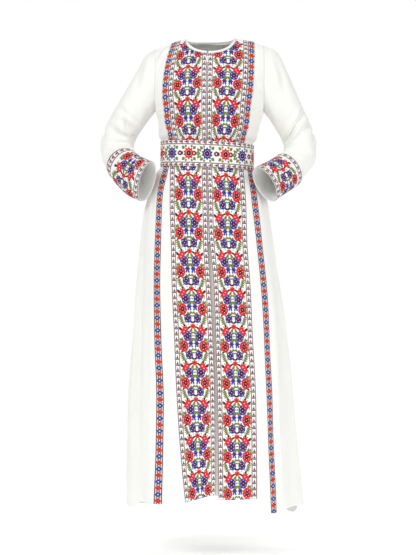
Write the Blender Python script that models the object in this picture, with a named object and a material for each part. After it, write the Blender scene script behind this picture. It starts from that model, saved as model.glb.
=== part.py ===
# A long-sleeved caftan in its worn form: a zipped front with embroidered panels, a wide belt,
# deep embroidered cuffs and a flared skirt.
# Sizes are millimetres until the meshes are written. Z is up, the front faces -Y, and the
# origin is between the shoulders, at the base of the neck.

import math

import bmesh
import bpy
from mathutils import Vector

MM = 0.001
CLOTH = 1.2  # wall of the crepe
TAPE = 1.0  # wall of the narrow embroidered tapes
CUFF_CLOTH = 1.8  # the cuffs and the belt are faced, so they are thicker
GAP = 0.3  # between neighbouring pieces
TAPE_LIFT = CLOTH / 2 + GAP + TAPE / 2  # from the middle of the cloth to the middle of the tape
ARMHOLE_GAP = 1.4  # from the armhole to the middle of the sleeve's first ring
SQUARENESS = 2.3  # exponent of each horizontal section, where 2 is an ellipse

WAIST = -340
WAIST_TILT = -0.046  # the waist drops towards +X
SKIRT_END = -1371
HEM_REACH = 6  # how sharply the uneven hem takes hold towards the skirt's end
ARMPIT = 0.42  # share of the bodice's height

NECK_MIDDLE = 4
NECK_HALF_WIDTH = 76
NECK_DROP_FRONT = 58
NECK_DROP_BACK = 14
NECK_BINDING_WIDTH = 7
NECK_BINDING_WALL = 1.4
NECK_BINDING_GAP = 0.9
NECK_BINDING_LEAN = 0.55  # inwards, against 0.83 upwards
NECK_BINDING_RISE = 0.83

BELT_HEIGHT = 75
BELT_MIDDLE = -338
BELT_OUT = 2.8  # from the waist's surface to the middle of the belt's wall
BELT_COLUMNS = 44

SLEEVE_COLUMNS = 18
SKIRT_BACK_COLUMNS = 12
SKIRT_SIDE_COLUMNS = 6
PANEL_STEPS = 4
SIDE_STEPS = 3
NECK_BACK_STEPS = 8
SKIRT_ROWS = (
    0, 0.038, 0.048, 0.079, 0.122, 0.174, 0.244, 0.31, 0.38, 0.45, 0.52, 0.6, 0.68, 0.76, 0.84, 0.92, 1
)
HIDDEN_ROWS = 2  # rows of the skirt and of the bodice's front that the belt covers and the tapes leave free
TAPE_INSET = 1.5  # least turn from the panel's seam to the tape
TAPE_SPREAD = 3  # least turn across the tape
NORMAL_TURN = 0.4  # steps from which a surface's normal is found
NORMAL_SHARE = 0.003
SETTLING_ROUNDS = 8  # for a column's meeting with the neckline

ZIP_END = -592
ZIP_CHAIN_HALF = 2.1
ZIP_TAPE_HALF = 9
ZIP_FACE = 0.7  # how far the chain's face stands out from the middle of the cloth
ZIP_TAPE_FACE = -1.4
ZIP_TAPE_BACK = -2.0

SLIDER_SHARE = 0.79  # share of the bodice's height at the pull tab's crossbar
SLIDER_BODY = (8.0, 11.0, 2.2)  # across, along and out
SLIDER_BODY_TOP = -4.6  # above the crossbar
STOP_SIZE = (5.0, 3.0, 1.0)
STOP_RISE = 1.5
BAIL_WIDTH = 1.6
BAIL_SPAN = (-2.2, 3.6)
BAIL_WALL = 0.9
BAIL_ROOM = 2.2
BAIL_SUNK = -0.6  # the bail's feet reach into the slider's body
TAB_WALL = 1.0
TAB_HALF_WIDTH = 2.7
TAB_LENGTH = 17.0
TAB_WINDOW_HALF = 1.3
TAB_WINDOW_END = 4.8

PLEAT_HALF = 28  # half width of the underlay behind the centre front
PLEAT_DEPTH = 7
PLEAT_EDGE_DEPTH = 3.4
PLEAT_FLOOR_HALF = 8


class Table:
    # Rows of named columns. The first column is the place, and the rest vary smoothly with it.
    def __init__(self, names, *rows):
        self.names = names.split()
        self.rows = sorted(rows)

    def at(self, place, name):
        column = self.names.index(name)
        rows = self.rows
        place = min(max(place, rows[0][0]), rows[-1][0])
        index = next((i for i in range(len(rows) - 2) if place <= rows[i + 1][0]), len(rows) - 2)
        step = rows[index + 1][0] - rows[index][0]
        rise = rows[index + 1][column] - rows[index][column]
        t = (place - rows[index][0]) / step
        first = self.slope(index, column) * step
        last = self.slope(index + 1, column) * step
        curve = t * t * (3 - 2 * t) * rise + t * (1 - t) ** 2 * first - t * t * (1 - t) * last
        return rows[index][column] + curve

    def slope(self, index, column):
        def rise(i):
            return (self.rows[i + 1][column] - self.rows[i][column]) / (self.rows[i + 1][0] - self.rows[i][0])

        if index == 0:
            return rise(0)
        if index == len(self.rows) - 1:
            return rise(index - 1)
        before, after = rise(index - 1), rise(index)
        return 2 * before * after / (before + after) if before * after > 0 else 0.0


# The skirt's horizontal sections: the edges at the sides, and the depth before and behind
SKIRT = Table(
    "height left right front back",
    (-340, -139, 128, 94, 88),
    (-377, -139, 128, 94, 88),
    (-386, -149, 138, 99, 96),
    (-422, -166, 157, 110, 110),
    (-466, -180, 171, 119, 124),
    (-519, -191, 178, 126, 136),
    (-614, -203, 193, 131, 147),
    (-717, -212, 209, 137, 152),
    (-879, -222, 231, 147, 160),
    (-1056, -233, 248, 160, 172),
    (-1204, -235, 262, 172, 186),
    (-1371, -237, 280, 186, 204),
)

# Where the skirt's seams and tapes lie, as distances across the front
SKIRT_SEAMS = Table(
    "height tape_out_left tape_in_left panel_left centre_left centre_right"
    " panel_right tape_in_right tape_out_right",
    (-340, -128, -112, -112, -9, -3, 97, 107, 122),
    (-377, -132, -116, -113, -9, -3, 100, 111, 126),
    (-466, -149, -133, -113, -7, -1, 106, 122, 139),
    (-592, -155, -138, -110, -4, 2, 110, 136, 152),
    (-710, -158, -140, -107, 4, 13, 118, 148, 165),
    (-885, -155, -136, -99, 12, 19, 126, 158, 174),
    (-1065, -149, -128, -90, 17, 24, 133, 164, 181),
    (-1371, -154, -131, -66, 18, 27, 134, 171, 188),
)

# The hem's height along each skirt piece, by its turn from the centre front
HEMS = {
    "skirt_panel_left": Table("turn height", (-20, -1338), (0, -1310)),
    "skirt_panel_right": Table("turn height", (0, -1326), (26, -1323)),
    "centre_front_underlay": Table("turn height", (-10, -1312), (0, -1308), (12, -1312)),
    "skirt_gore_left": Table(
        "turn height",
        (-90, -1367), (-70, -1362), (-62, -1343), (-50, -1341),
        (-35, -1341), (-28, -1337), (-23, -1348), (-15, -1339),
    ),
    "skirt_gore_right": Table(
        "turn height", (22, -1340), (27, -1353), (34, -1366), (44, -1359), (60, -1357), (90, -1360)
    ),
    "skirt_back_left": Table(
        "turn height", (-180, -1370), (-160, -1376), (-138, -1384), (-120, -1376), (-90, -1367)
    ),
    "skirt_back_right": Table(
        "turn height", (90, -1361), (110, -1374), (124, -1406), (139, -1380), (180, -1370)
    ),
}

# Flutes of the skirt: ridges stand out and troughs go in, and each grows from its start to the hem
FLUTES = (
    # turn at the waist, turn at the hem, start, half width in degrees, depth at the hem
    (-26, -24, -900, 8, 7),
    (-50, -47, -640, 9, 7),
    (-68, -58, -520, 9, -17),
    (-100, -104, -560, 12, 13),
    (-118, -121, -620, 11, -13),
    (-136, -138, -540, 12, 18),
    (-158, -157, -700, 11, -13),
    (28, 31, -860, 8, 9),
    (80, 63, -540, 10, -15),
    (104, 106, -640, 11, -10),
    (116, 122, -560, 12, 17),
    (132, 138, -600, 11, -12),
    (152, 150, -680, 12, 14),
    (180, 176, -560, 12, 15),
)

# The bodice's sections from the waist, 0, to the top of the shoulder, 1. Above the armpit the
# edges are the armholes, and arm_share is the armhole's depth over the depth at the middle.
BODICE = Table(
    "share left right front back arm_share",
    (0.0, -139, 128, 94, 88, 0),
    (0.128, -139, 128, 94, 88, 0),
    (0.146, -143, 132, 98, 91, 0),
    (0.166, -148, 138, 104, 95, 0),
    (0.2, -149, 141, 108, 98, 0),
    (0.30, -149, 149, 117, 103, 0),
    (0.42, -157, 160, 124, 108, 0),
    (0.44, -157, 160, 125, 109, 0.18),
    (0.49, -157, 160, 125, 110, 0.33),
    (0.57, -157, 160, 120, 110, 0.45),
    (0.68, -157, 160, 107, 107, 0.57),
    (0.79, -157, 160, 89, 98, 0.66),
    (0.88, -157, 160, 70, 82, 0.72),
    (0.94, -157, 160, 52, 62, 0.74),
    (0.978, -157, 160, 32, 39, 0.74),
    (0.994, -157, 160, 17, 21, 0.74),
    (1.0, -157, 160, 0, 0, 0.74),
)

BODICE_SEAMS = Table(
    "share tape_out_left tape_in_left centre_left centre_right tape_in_right tape_out_right",
    (0.0, -116, -100, -9, -3, 85, 101),
    (0.114, -117, -101, -9, -3, 87, 103),
    (0.25, -125, -109, -10, -4, 98, 114),
    (0.42, -131, -114, -10, -4, 104, 120),
    (0.55, -135, -118, -9, -3, 109, 126),
    (0.66, -133, -116, -9, -3, 112, 129),
    (0.79, -127, -111, -8, -2, 114, 131),
    (1.0, -108, -93, -7, -1, 116, 133),
)

SHOULDER_LINE = Table(
    "x height", (-157, -24), (-105, -5), (-72, 6), (4, 14), (80, 9), (136, -4), (160, -10)
)

# Each sleeve's rings in the front view: the outer and inner edges, the middle's place in depth,
# how far back the outer edge leans from the middle, and half the ring's depth
SLEEVE_NAMES = "ring outer_x outer_z inner_x inner_z y lean depth"
SLEEVES = {
    "left": Table(
        SLEEVE_NAMES,
        (1, -173, -33, -168, -215, 1, 0, 60),
        (2, -187, -46, -178, -227, 3, 0, 57),
        (3, -207, -80, -190, -243, 6, 0, 54),
        (4, -232, -123, -202, -261, 10, 0, 52),
        (5, -259, -168, -212, -277, 14, 0, 51),
        (6, -288, -214, -218, -289, 18, 0, 50),
        (7, -310, -263, -222, -298, 21, 0, 50),
        (8, -321, -311, -223, -304, 20, 2, 50),
        (9, -313, -350, -226, -309, 10, 8, 49),
        (10, -294, -380, -230, -314, -5, 14, 47),
        (11, -276, -403, -235, -319, -25, 19, 45),
    ),
    "right": Table(
        SLEEVE_NAMES,
        (1, 183, -19, 171, -218, 1, 0, 60),
        (2, 202, -33, 182, -230, 3, 0, 57),
        (3, 225, -78, 193, -248, 6, 0, 54),
        (4, 247, -129, 205, -267, 10, 0, 52),
        (5, 270, -178, 215, -284, 14, 0, 51),
        (6, 290, -222, 220, -298, 18, 0, 50),
        (7, 307, -262, 223, -309, 21, 0, 50),
        (8, 318, -306, 222, -317, 21, 2, 50),
        (9, 313, -352, 220, -323, 12, 8, 49),
        (10, 286, -388, 217, -328, -5, 14, 47),
        (11, 251, -425, 213, -334, -28, 20, 45),
    ),
}
CUFFS = {
    "left": Table(
        SLEEVE_NAMES,
        (0, -276, -403, -235, -319, -25, 19, 45),
        (1, -254, -431, -213, -339, -50, 23, 40),
        (2, -226, -457, -190, -353, -75, 27, 35),
        (3, -191, -473, -166, -364, -99, 31, 30),
    ),
    "right": Table(
        SLEEVE_NAMES,
        (0, 251, -425, 213, -334, -28, 20, 45),
        (1, 228, -442, 188, -352, -57, 22, 41),
        (2, 205, -458, 162, -367, -86, 25, 37),
        (3, 183, -474, 137, -381, -115, 28, 34),
    ),
}

FINISHES = {
    # colour, roughness
    "crepe": ((0.925, 0.93, 0.90), 0.62),
    "embroidery": ((0.74, 0.52, 0.55), 0.7),
    "tape": ((0.62, 0.36, 0.42), 0.7),
    "underlay": ((0.80, 0.79, 0.72), 0.7),
    "zip_cloth": ((0.93, 0.93, 0.92), 0.5),
    "white_lacquer": ((0.95, 0.95, 0.95), 0.25),
}


def blend(a, b, share):
    return a + (b - a) * share


def squared(value):
    return math.copysign(abs(value) ** (2 / SQUARENESS), value)


def turn_for(share):
    # The turn from the centre front at which a section reaches this share of its half width
    return math.copysign(math.degrees(math.asin(min(1.0, abs(share)) ** (SQUARENESS / 2))), share)


def section_point(turn, left, right, depth):
    x = (left + right) / 2 + (right - left) / 2 * squared(math.sin(math.radians(turn)))
    return x, -depth * squared(math.cos(math.radians(turn)))


def waist_height(x):
    return WAIST + WAIST_TILT * x


def flute_depth(turn, height):
    total = 0.0
    for top, end, start, half, depth in FLUTES:
        if height >= start:
            continue
        middle = blend(top, end, (height - WAIST) / (SKIRT_END - WAIST))
        away = abs((turn - middle + 180) % 360 - 180) / half
        grown = (start - height) / (start - SKIRT_END)
        if away < 2:
            total += depth * grown ** 1.2 * math.cos(away * math.pi / 4) ** 2
    return total


def skirt_edges(height):
    return SKIRT.at(height, "left"), SKIRT.at(height, "right")


def skirt_point(turn, share, hem):
    height = blend(WAIST, SKIRT_END, share)
    left, right = skirt_edges(height)
    depth = SKIRT.at(height, "front" if abs(turn) < 90 else "back")
    x, y = section_point(turn, left, right, depth)
    flute = flute_depth(turn, height)
    x += flute * math.sin(math.radians(turn))
    y -= flute * math.cos(math.radians(turn))
    lifted = (hem.at(turn, "height") - SKIRT_END) * share ** HEM_REACH
    return Vector((x, y, blend(waist_height(x), SKIRT_END, share) + lifted))


def skirt_turn(x, height):
    left, right = skirt_edges(height)
    return turn_for((x - (left + right) / 2) / ((right - left) / 2))


def skirt_seam(name, share):
    height = blend(WAIST, SKIRT_END, share)
    return skirt_turn(SKIRT_SEAMS.at(height, name), height)


def bodice_edges(share):
    left, right = BODICE.at(share, "left"), BODICE.at(share, "right")
    stretch = (1 - BODICE.at(share, "arm_share") ** SQUARENESS) ** (-1 / SQUARENESS)
    middle, half = (left + right) / 2, (right - left) / 2
    return middle - half * stretch, middle + half * stretch


def bodice_point(turn, share):
    left, right = bodice_edges(share)
    x, y = section_point(turn, left, right, BODICE.at(share, "front" if abs(turn) < 90 else "back"))
    return Vector((x, y, blend(waist_height(x), SHOULDER_LINE.at(x, "height"), share)))


def bodice_turn(x, share):
    left, right = bodice_edges(share)
    return turn_for((x - (left + right) / 2) / ((right - left) / 2))


def bodice_seam(name, share):
    return bodice_turn(BODICE_SEAMS.at(share, name), share)


def bodice_end(side, share):
    # The side seam up to the armpit, then the armhole
    return bodice_turn(BODICE.at(share, side), share)


def neck_share(x, drop):
    away = abs(x - NECK_MIDDLE) / NECK_HALF_WIDTH
    if away >= 1:
        return 1.0
    fall = drop * math.sqrt(1 - away * away)
    return 1 - fall / (SHOULDER_LINE.at(x, "height") - waist_height(x))


def surface_spot(surface, turn, share, down):
    # A point on a surface, with its outward normal from the surface's own slopes
    low, high = max(0.0, share - NORMAL_SHARE), min(1.0, share + NORMAL_SHARE)
    around = surface(turn + NORMAL_TURN, share) - surface(turn - NORMAL_TURN, share)
    along = surface(turn, high) - surface(turn, low)
    normal = around.cross(along).normalized()
    return surface(turn, share), -normal if down else normal


def bodice_spot(turn, share):
    return surface_spot(bodice_point, turn, share, False)


def draw_in(grid, columns=True):
    # Pulls a piece's edges in by half the gap, so that neighbours stay apart
    if columns:
        for row in grid:
            for edge, inner in ((0, 1), (-1, -2)):
                step = (row[inner][0] - row[edge][0]).normalized() * GAP / 2
                row[edge] = (row[edge][0] + step, row[edge][1])
    for edge, inner in ((0, 1), (-1, -2)):
        for index, (point, normal) in enumerate(grid[edge]):
            step = (grid[inner][index][0] - point).normalized() * GAP / 2
            grid[edge][index] = (point + step, normal)
    return grid


def material_for(name, finish):
    colour, roughness = FINISHES[finish]
    material = bpy.data.materials.new(f"{name}_{finish}")
    material.use_nodes = True
    shader = material.node_tree.nodes["Principled BSDF"]
    shader.inputs["Base Color"].default_value = (*colour, 1)
    shader.inputs["Roughness"].default_value = roughness
    shader.inputs["Metallic"].default_value = 0.0
    material.diffuse_color = (*colour, 1)
    return material


def add_object(name, finish, points, faces, origin=Vector((0, 0, 0)), smooth=True):
    mesh = bpy.data.meshes.new(name)
    shape = bmesh.new()
    corners = [shape.verts.new((point - origin) * MM) for point in points]
    for face in faces:
        shape.faces.new([corners[index] for index in face])
    bmesh.ops.recalc_face_normals(shape, faces=shape.faces)
    shape.to_mesh(mesh)
    shape.free()
    mesh.materials.append(material_for(name, finish))
    if smooth:
        mesh.shade_smooth()
        mesh.set_sharp_from_angle(angle=math.radians(50))
    piece = bpy.data.objects.new(name, mesh)
    piece.location = origin * MM
    bpy.context.scene.collection.objects.link(piece)
    return piece


def add_wall(name, finish, grid, wall=CLOTH, lift=0.0, closed=False):
    # A closed wall over a grid of points and normals. A closed grid joins its last column to the first.
    rows, columns = len(grid), len(grid[0])
    points = [point + normal * (lift + wall / 2) for row in grid for point, normal in row]
    points += [point + normal * (lift - wall / 2) for row in grid for point, normal in row]
    inner = rows * columns

    def quad(a, b, c, d):
        return [(a, b, c), (a, c, d)]

    faces = []
    for row in range(rows - 1):
        for column in range(columns if closed else columns - 1):
            beside = (column + 1) % columns
            a, b = row * columns + column, row * columns + beside
            c, d = a + columns, b + columns
            faces += quad(a, b, d, c) + quad(a + inner, c + inner, d + inner, b + inner)
    for row in (0, rows - 1):
        for column in range(columns if closed else columns - 1):
            a, b = row * columns + column, row * columns + (column + 1) % columns
            faces += quad(a, a + inner, b + inner, b)
    if not closed:
        for column in (0, columns - 1):
            for row in range(rows - 1):
                a = row * columns + column
                c = a + columns
                faces += quad(a, c, c + inner, a + inner)
    return add_object(name, finish, points, faces)


def make_skirt():
    def grid_of(name, columns_at):
        hem = HEMS[name]

        def surface(turn, share):
            return skirt_point(turn, share, hem)

        rows = [(share, columns_at(share)) for share in SKIRT_ROWS]
        return [[surface_spot(surface, turn, share, True) for turn in turns] for share, turns in rows]

    for side, sign in (("left", -1), ("right", 1)):

        def panel_columns(share, side=side):
            height = blend(WAIST, SKIRT_END, share)
            edge = SKIRT_SEAMS.at(height, f"panel_{side}")
            centre = SKIRT_SEAMS.at(height, f"centre_{side}")
            steps = range(PANEL_STEPS + 1)
            return [skirt_turn(blend(edge, centre, step / PANEL_STEPS), height) for step in steps]

        name = f"skirt_panel_{side}"
        add_wall(name, "embroidery", draw_in(grid_of(name, panel_columns)))

        def gore_columns(share, side=side, sign=sign):
            seams = [skirt_seam(f"{place}_{side}", share) for place in ("panel", "tape_in", "tape_out")]
            spans = range(1, SKIRT_SIDE_COLUMNS + 1)
            # Under the belt the tape's edge may reach the seam, so the columns are kept apart
            seams[1] = sign * max(abs(seams[1]), abs(seams[0]) + TAPE_INSET)
            seams[2] = sign * max(abs(seams[2]), abs(seams[1]) + TAPE_SPREAD)
            return seams + [blend(seams[2], sign * 90, step / SKIRT_SIDE_COLUMNS) for step in spans]

        name = f"skirt_gore_{side}"
        grid = grid_of(name, gore_columns)
        tape = [row[1:3] for row in grid[HIDDEN_ROWS:]]
        add_wall(name, "crepe", draw_in(grid))
        add_wall(f"skirt_tape_{side}", "tape", draw_in(tape), TAPE, TAPE_LIFT)

        def back_columns(share, sign=sign):
            spans = range(SKIRT_BACK_COLUMNS + 1)
            return [sign * (90 + 90 * step / SKIRT_BACK_COLUMNS) for step in spans]

        name = f"skirt_back_{side}"
        add_wall(name, "crepe", draw_in(grid_of(name, back_columns)))
    make_underlay()


def make_underlay():
    # The inverted pleat below the zip: its edges lie close behind the panels, its floor is set back
    grid = []
    hem = HEMS["centre_front_underlay"]

    def surface(turn, share):
        return skirt_point(turn, share, hem)

    for share in [share for share in SKIRT_ROWS if blend(WAIST, SKIRT_END, share) < ZIP_END]:
        height = blend(WAIST, SKIRT_END, share)
        middle = (SKIRT_SEAMS.at(height, "centre_left") + SKIRT_SEAMS.at(height, "centre_right")) / 2
        row = []
        for away, depth in (
            (-PLEAT_HALF, PLEAT_EDGE_DEPTH), (-PLEAT_FLOOR_HALF, PLEAT_DEPTH),
            (PLEAT_FLOOR_HALF, PLEAT_DEPTH), (PLEAT_HALF, PLEAT_EDGE_DEPTH),
        ):
            point, normal = surface_spot(surface, skirt_turn(middle + away, height), share, True)
            row.append((point - normal * depth, normal))
        grid.append(row)
    add_wall("centre_front_underlay", "underlay", draw_in(grid))


def bodice_panel_grid(side, rows):
    # The embroidered half front: its column lines stop at the neckline or at the shoulder
    corner = NECK_MIDDLE + (-NECK_HALF_WIDTH if side == "left" else NECK_HALF_WIDTH)
    seam, centre = BODICE_SEAMS.at(1, f"tape_in_{side}"), BODICE_SEAMS.at(1, f"centre_{side}")
    first = (corner - seam) / (centre - seam)
    turned = [math.radians(90 * step / PANEL_STEPS) for step in range(1, PANEL_STEPS + 1)]
    places = [0, first] + [blend(first, 1, 1 - math.cos(angle)) for angle in turned]
    columns = []
    for place in places:

        def x_at(share, place=place):
            edge, middle = BODICE_SEAMS.at(share, f"tape_in_{side}"), BODICE_SEAMS.at(share, f"centre_{side}")
            return blend(edge, middle, place)

        top = 1.0
        for _ in range(SETTLING_ROUNDS if place > first else 0):
            top = neck_share(x_at(top), NECK_DROP_FRONT)
        shares = [row * top for row in rows]
        columns.append([bodice_spot(bodice_turn(x_at(share), share), share) for share in shares])
    return [list(row) for row in zip(*columns)]


def bodice_side_grid(side, rows):
    grid = []
    for share in rows:
        seams = [bodice_seam(f"{place}_{side}", share) for place in ("tape_in", "tape_out")]
        end = bodice_end(side, share)
        turns = seams + [blend(seams[1], end, step / SIDE_STEPS) for step in range(1, SIDE_STEPS + 1)]
        grid.append([bodice_spot(turn, share) for turn in turns])
    return grid


def bodice_back_grid(rows):
    corners = NECK_MIDDLE - NECK_HALF_WIDTH, NECK_MIDDLE + NECK_HALF_WIDTH
    columns = []

    def back_turn(x, share):
        return 180 - bodice_turn(x, share)

    def column(turn_at, top):
        columns.append([bodice_spot(turn_at(row * top), row * top) for row in rows])

    for step in range(SIDE_STEPS + 1):

        def right_turn(share, step=step):
            return blend(180 - bodice_end("right", share), back_turn(corners[1], share), step / SIDE_STEPS)

        column(right_turn, 1.0)
    for step in range(1, NECK_BACK_STEPS):
        x = NECK_MIDDLE + NECK_HALF_WIDTH * math.cos(math.pi * step / NECK_BACK_STEPS)
        column(lambda share, x=x: back_turn(x, share), neck_share(x, NECK_DROP_BACK))
    for step in range(SIDE_STEPS + 1):

        def left_turn(share, step=step):
            return blend(back_turn(corners[0], share), 180 - bodice_end("left", share), step / SIDE_STEPS)

        column(left_turn, 1.0)
    return [list(row) for row in zip(*columns)]


def make_bodice():
    rows = [row[0] for row in BODICE.rows]
    edges = {}
    for side in ("left", "right"):
        panel = bodice_panel_grid(side, rows)
        edges[side] = [point for point, normal in panel[-1][1:]]
        add_wall(f"bodice_panel_{side}", "embroidery", draw_in(panel))
        grid = bodice_side_grid(side, rows)
        tape = [row[:2] for row in grid[HIDDEN_ROWS:]]
        add_wall(f"bodice_side_{side}", "crepe", draw_in(grid))
        add_wall(f"bodice_tape_{side}", "tape", draw_in(tape), TAPE, TAPE_LIFT)
    back = bodice_back_grid(rows)
    neck = [point for point, normal in back[-1][SIDE_STEPS + 1:SIDE_STEPS + NECK_BACK_STEPS]]
    add_wall("bodice_back", "crepe", draw_in(back))
    make_neck_binding(list(reversed(edges["left"])) + list(reversed(neck)) + edges["right"])


def make_neck_binding(path):
    # A narrow strip that stands up from the neckline, open at the centre front
    middle = Vector((NECK_MIDDLE, 0, 0))
    grid = []
    for index, point in enumerate(path):
        before, after = path[max(index - 1, 0)], path[min(index + 1, len(path) - 1)]
        run = (after - before).normalized()
        inward = Vector((middle.x - point.x, middle.y - point.y, 0)).normalized() * NECK_BINDING_LEAN
        rise = inward + Vector((0, 0, NECK_BINDING_RISE))
        rise = (rise - run * rise.dot(run)).normalized()
        out = rise.cross(run).normalized()
        if out.dot(inward) > 0:
            out = -out
        start = point + rise * NECK_BINDING_GAP
        grid.append([(start, out), (start + rise * NECK_BINDING_WIDTH, out)])
    add_wall("neck_binding", "crepe", grid, NECK_BINDING_WALL)


def armhole_ring(side):
    ring = []
    for step in range(SLEEVE_COLUMNS):
        angle = 2 * math.pi * step / SLEEVE_COLUMNS
        share = blend(ARMPIT, 1.0, (1 + math.cos(angle)) / 2)
        turn = bodice_end(side, share)
        point = bodice_point(turn if math.sin(angle) >= 0 else math.copysign(180, turn) - turn, share)
        ring.append(point)
    return ring


def ring_points(table, ring, run):
    y, lean = table.at(ring, "y"), table.at(ring, "lean")
    outer = Vector((table.at(ring, "outer_x"), y + lean, table.at(ring, "outer_z")))
    inner = Vector((table.at(ring, "inner_x"), y - lean, table.at(ring, "inner_z")))
    middle, reach = (outer + inner) / 2, (outer - inner) / 2
    forward = run.cross(reach).normalized()
    if forward.y > 0:
        forward = -forward
    forward *= table.at(ring, "depth")
    angles = [2 * math.pi * step / SLEEVE_COLUMNS for step in range(SLEEVE_COLUMNS)]
    return [middle + reach * math.cos(angle) + forward * math.sin(angle) for angle in angles]


def ring_middle(table, ring):
    return Vector((
        (table.at(ring, "outer_x") + table.at(ring, "inner_x")) / 2,
        table.at(ring, "y"),
        (table.at(ring, "outer_z") + table.at(ring, "inner_z")) / 2,
    ))


def tube_grid(rings):
    # Outward normals on a stack of rings, from the rings' own points
    grid = []
    count = len(rings[0])
    for index, ring in enumerate(rings):
        before, after = rings[max(index - 1, 0)], rings[min(index + 1, len(rings) - 1)]
        middle = sum(ring, Vector()) / count
        row = []
        for column, point in enumerate(ring):
            around = ring[(column + 1) % count] - ring[column - 1]
            normal = around.cross(after[column] - before[column]).normalized()
            row.append((point, normal if normal.dot(point - middle) > 0 else -normal))
        grid.append(row)
    return grid


def make_sleeve(side):
    table = SLEEVES[side]
    numbers = [row[0] for row in table.rows]
    outward = Vector((-1.0 if side == "left" else 1.0, 0, 0))
    rings = [[point + outward * ARMHOLE_GAP for point in armhole_ring(side)]]
    for ring in numbers:
        run = ring_middle(table, min(ring + 1, numbers[-1])) - ring_middle(table, max(ring - 1, numbers[0]))
        rings.append(ring_points(table, ring, run))
    add_wall(f"sleeve_{side}", "crepe", draw_in(tube_grid(rings), columns=False), closed=True)


def make_cuff(side):
    table = CUFFS[side]
    numbers = [row[0] for row in table.rows]
    run = ring_middle(table, numbers[-1]) - ring_middle(table, numbers[0])
    sleeve = SLEEVES[side]
    last = sleeve.rows[-1][0]
    first_run = ring_middle(sleeve, last) - ring_middle(sleeve, last - 1)
    rings = [ring_points(table, ring, first_run if ring == numbers[0] else run) for ring in numbers]
    add_wall(f"cuff_{side}", "embroidery", draw_in(tube_grid(rings), columns=False), CUFF_CLOTH, closed=True)


def make_belt():
    def surface(turn, share):
        left, right = skirt_edges(WAIST)
        front = abs((turn + 180) % 360 - 180) < 90
        x, y = section_point(turn, left, right, SKIRT.at(WAIST, "front" if front else "back"))
        height = BELT_MIDDLE + WAIST_TILT * x + blend(-BELT_HEIGHT / 2, BELT_HEIGHT / 2, share)
        return Vector((x, y, height))

    turns = [360 * step / BELT_COLUMNS for step in range(BELT_COLUMNS)]
    grid = [[surface_spot(surface, turn, share, False) for turn in turns] for share in (0, 0.5, 1)]
    add_wall("belt", "embroidery", grid, CUFF_CLOTH, BELT_OUT, closed=True)


def zip_rows():
    # Each row of the zip: the surface it follows, its share, and the middle of the centre gap
    rows = []
    top = 1.0
    for _ in range(SETTLING_ROUNDS):
        top = neck_share(BODICE_SEAMS.at(top, "centre_left"), NECK_DROP_FRONT)
    for row in reversed(BODICE.rows):
        share = min(row[0] * top, top - NORMAL_SHARE)
        middle = (BODICE_SEAMS.at(share, "centre_left") + BODICE_SEAMS.at(share, "centre_right")) / 2
        rows.append((bodice_point, bodice_turn, share, middle, False))
    hem = HEMS["skirt_panel_left"]

    def surface(turn, share):
        return skirt_point(turn, share, hem)

    def turn_at(x, share):
        return skirt_turn(x, blend(WAIST, SKIRT_END, share))

    end = (ZIP_END - WAIST) / (SKIRT_END - WAIST)
    for share in [share for share in SKIRT_ROWS[1:] if share < end - NORMAL_SHARE] + [end]:
        height = blend(WAIST, SKIRT_END, share)
        middle = (SKIRT_SEAMS.at(height, "centre_left") + SKIRT_SEAMS.at(height, "centre_right")) / 2
        rows.append((surface, turn_at, share, middle, True))
    return rows


def make_zip():
    # A tape behind the panels with the closed chain standing through the centre gap
    section = (
        (-ZIP_TAPE_HALF, ZIP_TAPE_BACK), (ZIP_TAPE_HALF, ZIP_TAPE_BACK),
        (ZIP_TAPE_HALF, ZIP_TAPE_FACE), (ZIP_CHAIN_HALF, ZIP_TAPE_FACE),
        (ZIP_CHAIN_HALF, ZIP_FACE), (-ZIP_CHAIN_HALF, ZIP_FACE),
        (-ZIP_CHAIN_HALF, ZIP_TAPE_FACE), (-ZIP_TAPE_HALF, ZIP_TAPE_FACE),
    )
    points = []
    rows = zip_rows()
    for surface, turn_at, share, middle, down in rows:
        for across, out in section:
            point, normal = surface_spot(surface, turn_at(middle + across, share), share, down)
            points.append(point + normal * out)
    count = len(section)
    faces = []
    for row in range(len(rows) - 1):
        for corner in range(count):
            a, b = row * count + corner, row * count + (corner + 1) % count
            faces += [(a, b, b + count), (a, b + count, a + count)]
    end_faces = ((0, 1, 2), (0, 2, 3), (0, 3, 6), (0, 6, 7), (3, 4, 5), (3, 5, 6))
    for first in (0, (len(rows) - 1) * count):
        faces += [tuple(first + corner for corner in face) for face in end_faces]
    add_object("zip_chain", "zip_cloth", points, faces, smooth=False)
    surface, turn_at, share, middle, down = rows[-1]
    point, normal = surface_spot(surface, turn_at(middle, share), share, down)
    stop = point + normal * (ZIP_FACE + GAP + STOP_SIZE[2] / 2) + Vector((0, 0, STOP_RISE))
    add_box("zip_bottom_stop", "white_lacquer", stop, Vector((0, 0, -1)), normal, STOP_SIZE)


def local_frame(down, normal):
    down = (down - normal * down.dot(normal)).normalized()
    across = down.cross(normal).normalized()
    return across, down, normal


def add_box(name, finish, middle, down, normal, size):
    axes = local_frame(down, normal)
    points = []
    for a in (-0.5, 0.5):
        for b in (-0.5, 0.5):
            for c in (-0.5, 0.5):
                points.append(middle + axes[0] * a * size[0] + axes[1] * b * size[1] + axes[2] * c * size[2])
    faces = [(0, 1, 3, 2), (4, 6, 7, 5), (0, 4, 5, 1), (2, 3, 7, 6), (0, 2, 6, 4), (1, 5, 7, 3)]
    return add_object(name, finish, points, faces, smooth=False)


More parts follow.
